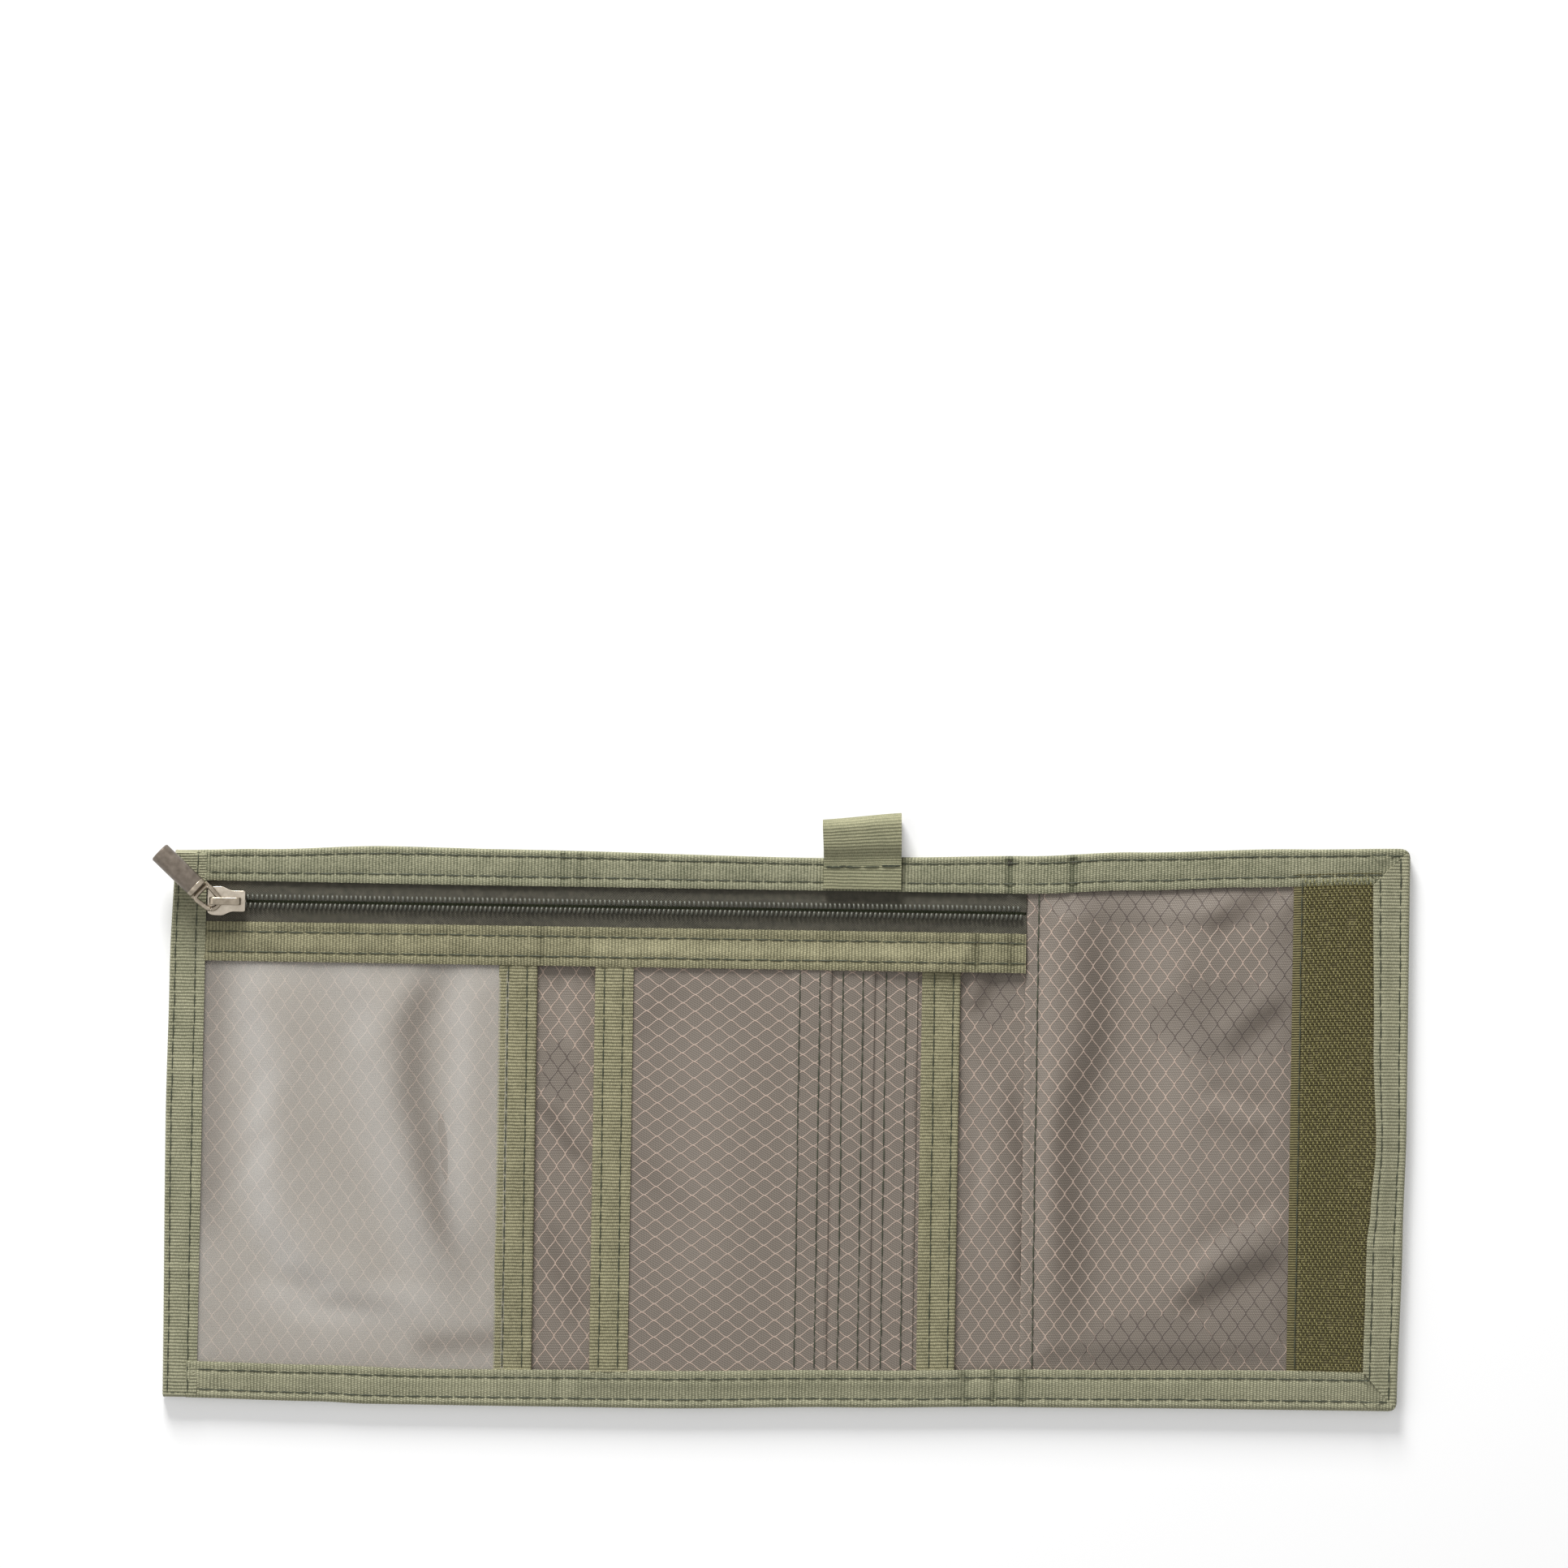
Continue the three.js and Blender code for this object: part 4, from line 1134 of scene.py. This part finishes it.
# Each strip of the long tape: where it starts and ends, which way is inward, and its mitres, each a
# corner and the side that is cut away.
top_right = (face_right, face_high, 0)
low_right = (face_right, face_low, 0)
hidden_end = binding_start - 3 * mm
long_tape = {
    "top": ((hidden_end, face_high), (face_right, face_high), (0, -1), [(top_right, (1, -1, 0))]),
    "right": ((face_right, face_high), (face_right, face_low), (-1, 0),
              [(top_right, (-1, 1, 0)), (low_right, (-1, -1, 0))]),
    "bottom": ((face_right, face_low), (hidden_end, face_low), (0, 1), [(low_right, (1, 1, 0))]),
}
strips = []
for side, (start, end, inward, mitres) in long_tape.items():
    seams = [place * mm for place in side_seams[side]]
    creases = binding_creases[side]
    if side == "bottom":
        creases = [((face_right - hidden_end) / mm - place, width, depth) for place, width, depth in creases]
    profile = binding_profile(seams, side_lift[side])
    strip = ribbed_tape("binding_" + side, start, end, inward, profile, edge_grosgrain, creases,
                        side_painted_light[side])
    bpy.ops.object.mode_set(mode="EDIT")
    for corner, cut_side in mitres:
        bpy.ops.mesh.select_all(action="SELECT")
        bpy.ops.mesh.bisect(plane_co=corner, plane_no=cut_side, clear_outer=True)
    bpy.ops.object.mode_set(mode="OBJECT")
    points = points_of(strip)
    if side == "bottom":
        lapped = past_fold(points[:, 1] - face_low) * (points[:, 2] > binding_base + 1 * mm)
        points[:, 2] += cards_lift * lapped * on_cards(points[:, 0])
    settle_points(points)
    put_points(strip, points)
    give_thickness(strip, tape_skin, -1, edge_grosgrain)
    strips.append(strip)
bpy.ops.object.select_all(action="DESELECT")
for strip in strips:
    strip.select_set(True)
bpy.context.view_layer.objects.active = strips[0]
bpy.ops.object.join()
binding = bpy.context.object
binding.name = "edge_binding_tape"
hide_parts("edge_binding")
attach(binding, "wallet")

left_profile = binding_profile([place * mm for place in side_seams["left"]], side_lift["left"])
left_tape = ribbed_tape("left_binding_tape", (face_left, face_low), (face_left, face_high), (1, 0),
                        left_profile, edge_grosgrain, [(30, 1.2, 0.12), (77, 1.4, 0.1)])
points = points_of(left_tape)
settle_points(points)
points[:, 2] += lap_lift * (points[:, 2] > binding_base + 1 * mm)
from_end = np.minimum(points[:, 1] - points[:, 1].min(), points[:, 1].max() - points[:, 1])
pressed = 1 - ease(from_end / (0.9 * mm))
points[:, 2] -= pressed * (points[:, 2] - binding_base) * 0.72
put_points(left_tape, points)
give_thickness(left_tape, tape_skin, -1, edge_grosgrain)
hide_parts("left_binding")
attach(left_tape, "wallet")

seam_level = binding_level - stitch_dip
binding_seams = []
for seam in side_seams["top"]:
    seam_y = face_high - seam * mm
    binding_seams.append(((band_left, seam_y), (face_right - seam * mm, seam_y)))
for seam in side_seams["right"]:
    seam_x = face_right - seam * mm
    binding_seams.append(((seam_x, face_high - seam * mm), (seam_x, face_low + seam * mm)))
for seam in side_seams["bottom"]:
    seam_y = face_low + seam * mm
    binding_seams.append(((band_left, seam_y), (face_right - seam * mm, seam_y)))
for seam in side_seams["left"]:
    seam_x = face_left + seam * mm
    binding_seams.append(((seam_x, face_low + 1 * mm), (seam_x, face_high - 1 * mm)))


def binding_rise(x, y):
    """The seams on a raised inner edge lie higher than those near the fold."""
    right = side_lift["right"] * past_fold(face_right - x) * (face_right - x < band)
    low = (side_lift["bottom"] + cards_lift * on_cards(x)) * past_fold(y - face_low) * (y - face_low < band)
    high = side_lift["top"] * past_fold(face_high - y) * (face_high - y < band)
    left = side_lift["left"] * past_fold(x - face_left) + lap_lift * (x - face_left < band)
    inside = x - face_left > band
    return np.where(inside, np.maximum(np.maximum(right, low), high), left)


sew("stitching_binding", [(start, end, seam_level) for start, end in binding_seams], height=binding_rise)
tack_x = face_left + 4.6 * mm
tack_y = face_low + 1.2 * mm
tack_level = seam_level + 0.15 * mm
tacks = [((tack_x, face_high - 0.8 * mm), (tack_x, face_high - 4.2 * mm), tack_level),
         ((face_left + 2 * mm, tack_y), (face_left + 6 * mm, tack_y), tack_level)]
sew("back_tacks_binding", tacks, pitch=1.1 * mm, length=1.6 * mm)

# Webbing loop. One length of ribbed webbing is folded double, sewn across the top binding and left
# standing beyond the edge as a loop for a lanyard.
web_thick = 0.6 * mm
web_rib = 0.62 * mm
web_rib_depth = 0.035 * mm
web_slant = 1.35 * mm
web_columns = 25

web_finish = grosgrain("sage_webbing", tone(100, 101, 76), tone(166, 163, 130))

web_low, web_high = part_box("webbing_loop")
lower_ply = binding_level + web_thick / 2
upper_ply = lower_ply + web_thick + 0.1 * mm
web_floor = web_thick / 2
web_roof = web_high.z - web_thick / 2
tip_round = (web_roof - web_floor) / 2
tip_y = web_high.y - tip_round - web_thick / 2
back_y = web_low.y + 0.65 * mm
shed_y = face_high + 0.3 * mm


def bend_line(start, first, second, end, count=12):
    share = np.linspace(0, 1, count)[:, None]
    start, first, second, end = (np.array(point) for point in (start, first, second, end))
    return (start * (1 - share) ** 3 + 3 * first * share * (1 - share) ** 2
            + 3 * second * share ** 2 * (1 - share) + end * share ** 3)


turn = np.linspace(-math.pi / 2, math.pi / 2, 16)
web_line = np.concatenate([
    [(back_y, lower_ply)],
    bend_line((shed_y, lower_ply), (shed_y + 1.2 * mm, lower_ply), (shed_y + 0.3 * mm, web_floor),
              (shed_y + 1.7 * mm, web_floor)),
    np.stack([tip_y + tip_round * np.cos(turn), web_floor + tip_round + tip_round * np.sin(turn)], axis=1),
    bend_line((shed_y + 3.6 * mm, web_roof), (shed_y + 1.4 * mm, web_roof), (shed_y + 0.6 * mm, upper_ply),
              (shed_y - 1.4 * mm, upper_ply)),
    [(back_y, upper_ply)],
])
web_spread = path_lengths(web_line)
web_run = web_spread[-1]
web_along = steps(0, web_run, web_rib / 2)
web_across = np.linspace(0, web_high.x - web_low.x, web_columns)
webbing, row, column = woven_grid("webbing_loop_band", web_along, web_across)
web_y = np.interp(web_along, web_spread, web_line[:, 0])
web_z = np.interp(web_along, web_spread, web_line[:, 1])
slope_y, slope_z = np.gradient(web_y), np.gradient(web_z)
slope_length = np.hypot(slope_y, slope_z)
ridge = web_rib_depth * np.where(row % 2 == 0, 1, -1)
y = web_y[row] + ridge * (slope_z / slope_length)[row]
z = web_z[row] - ridge * (slope_y / slope_length)[row]
x = web_low.x + web_across[column]
lean = (x - web_low.x) / (web_high.x - web_low.x) - 0.55
beyond = ease((y - face_high) / (web_high.y - face_high))
y = (y + web_slant * lean * beyond
     + drift(top_edge_drift, x - face_left) * ease((y - face_high + 4 * mm) / (4 * mm)))
x = x - 1.4 * mm * beyond * (0.5 - lean * 0.5) * 0.3
put_points(webbing, np.stack([x, y, z], axis=1))
give_thickness(webbing, web_thick - 0.1 * mm, 0, web_finish)
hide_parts("webbing_loop")
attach(webbing, "wallet")

web_top = upper_ply + web_thick / 2 - 0.05 * mm
web_seam_y = web_low.y + 6.6 * mm
web_seams = [((web_low.x + 0.6 * mm, web_seam_y), (web_high.x - 0.6 * mm, web_seam_y + 0.2 * mm), web_top)]
sew("stitching_webbing", web_seams)
web_tacks = [((web_low.x + 0.4 * mm, web_seam_y + 0.25 * mm),
              (web_low.x + 6.8 * mm, web_seam_y + 0.3 * mm), web_top),
             ((web_high.x - 4.6 * mm, web_seam_y + 0.3 * mm),
              (web_high.x - 0.3 * mm, web_seam_y + 0.4 * mm), web_top)]
sew("back_tacks_webbing", web_tacks, pitch=1.3 * mm, length=1.9 * mm)

# Zip slider. It is cast in zinc, plated a warm nickel and tumbled, so that its edges are round and
# its top is a little grainy. A crown on its top plate holds the pull.
plate_edge = 0.22 * mm
crown_edge = 0.25 * mm


def plated_metal(name, dark, light, rough, grain):
    finish = Finish(name)
    tarnish = finish.cloud(1.4 * mm, 3)
    pits = finish.cloud(grain, 3)
    finish.shade(Base_Color=finish.blend(tarnish, dark, light), Metallic=0.92, Roughness=rough + pits * 0.14)
    finish.shade(Normal=finish.bump(pits, 0.012 * mm))
    return finish.material


nickel = plated_metal("warm_nickel", tone(150, 139, 123), tone(216, 206, 190), 0.26, 0.5 * mm)
# The crown is the same plated nickel as the plates; its darker copy of the colour is painted shade.
shaded_nickel = plated_metal("shaded_nickel", tone(96, 86, 72), tone(186, 174, 156), 0.24, 0.4 * mm)


def round_edges(piece, width):
    bpy.ops.object.modifier_add(type="BEVEL")
    bevel = piece.modifiers[-1]
    bevel.width = width
    bevel.segments = 4
    bevel.limit_method = "ANGLE"
    bevel.angle_limit = math.radians(40)
    bpy.ops.object.modifier_apply(modifier=bevel.name)
    bpy.ops.object.shade_smooth_by_angle(angle=math.radians(40))


def refined_copy(node, name, edge, material, body):
    """The CAD piece again, with its edges rounded and a finish of its own."""
    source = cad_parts[node]
    made = source.copy()
    made.data = source.data.copy()
    made.name = name
    made.parent = None
    made.matrix_world = source.matrix_world.copy()
    bpy.context.collection.objects.link(made)
    pick_up(made)
    made.hide_render = False
    bpy.ops.object.mode_set(mode="EDIT")
    bpy.ops.mesh.select_all(action="SELECT")
    bpy.ops.mesh.remove_doubles(threshold=0.002 * mm)
    bpy.ops.mesh.dissolve_limited(angle_limit=math.radians(1))
    bpy.ops.mesh.normals_make_consistent(inside=False)
    bpy.ops.object.mode_set(mode="OBJECT")
    round_edges(made, edge)
    made.data.materials.clear()
    made.data.materials.append(material)
    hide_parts(node)
    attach(made, body)
    return made


slider_plate = refined_copy("slider_body", "slider_plates", plate_edge, nickel, "slider")
slider_bridge = refined_copy("slider_crown", "slider_bridge", crown_edge, shaded_nickel, "slider")

# Zip pull. A flat ring of dark pewter hangs on the crown's front leg, and its tongue is crimped into
# a satin gunmetal barrel. Its eye has a raised rim.
ring_edge = 0.24 * mm
barrel_edge = 0.3 * mm

gunmetal = plated_metal("satin_gunmetal", tone(80, 72, 64), tone(134, 124, 113), 0.34, 0.9 * mm)
pewter = plated_metal("dark_pewter", tone(96, 87, 75), tone(190, 178, 160), 0.26, 0.5 * mm)

pull_wire = refined_copy("pull_ring", "pull_wire", ring_edge, pewter, "pull")

# The eye's own rim stands up from the flat ring, and a short collar is pressed over the barrel's
# end next to it. Both are laid out along the pull, in millimetres from the crown's leg.
eye_radius = 1.9
rim_radius = 0.58 * mm
rim_lift = 0.72 * mm
rim_path = [(eye_radius * math.cos(turn), eye_radius * math.sin(turn))
            for turn in np.linspace(math.pi / 2, 1.5 * math.pi, 17)]
rim_path += [(1.3, -2.05), (2.6, -2.2), (3.2, -1.95), (3.35, -1.4), (3.35, 0), (3.35, 1.4), (3.2, 1.95),
             (2.6, 2.2), (1.3, 2.05), rim_path[0]]
pull_turn = math.radians(137)
ring_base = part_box("pull_ring")[0].z
crown_low, crown_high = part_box("slider_crown")
leg_x, leg_y = crown_low.x + 0.4 * mm, (crown_low.y + crown_high.y) / 2


def on_pull(out, aside, level):
    return (leg_x + (out * math.cos(pull_turn) - aside * math.sin(pull_turn)) * mm,
            leg_y + (out * math.sin(pull_turn) + aside * math.cos(pull_turn)) * mm,
            ring_base + level)


rim_line = [on_pull(out, aside, rim_lift) for out, aside in rim_path]
rim_points, rim_faces = tube_turn(rim_line, rim_radius, 12)
rim = mesh_piece("pull_rim", rim_points, rim_faces, pewter)
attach(rim, "pull")

collar_start = 3.95
collar_length = 1.2
collar_radius = 2.56 * mm
collar_edge = 0.2 * mm
barrel_axis_height = 2.1 * mm
collar_along = collar_start + collar_length / 2
bpy.ops.object.select_all(action="DESELECT")
bpy.ops.mesh.primitive_cylinder_add(
    vertices=48, radius=collar_radius, depth=collar_length * mm, rotation=(0, math.pi / 2, pull_turn),
    location=on_pull(collar_along, 0, barrel_axis_height))
collar = bpy.context.object
collar.name = "barrel_collar"
bpy.ops.object.transform_apply(location=True, rotation=True, scale=True)
round_edges(collar, collar_edge)
collar.data.materials.append(pewter)
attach(collar, "pull")
pull_rod = refined_copy("pull_barrel", "pull_rod", barrel_edge, gunmetal, "pull")
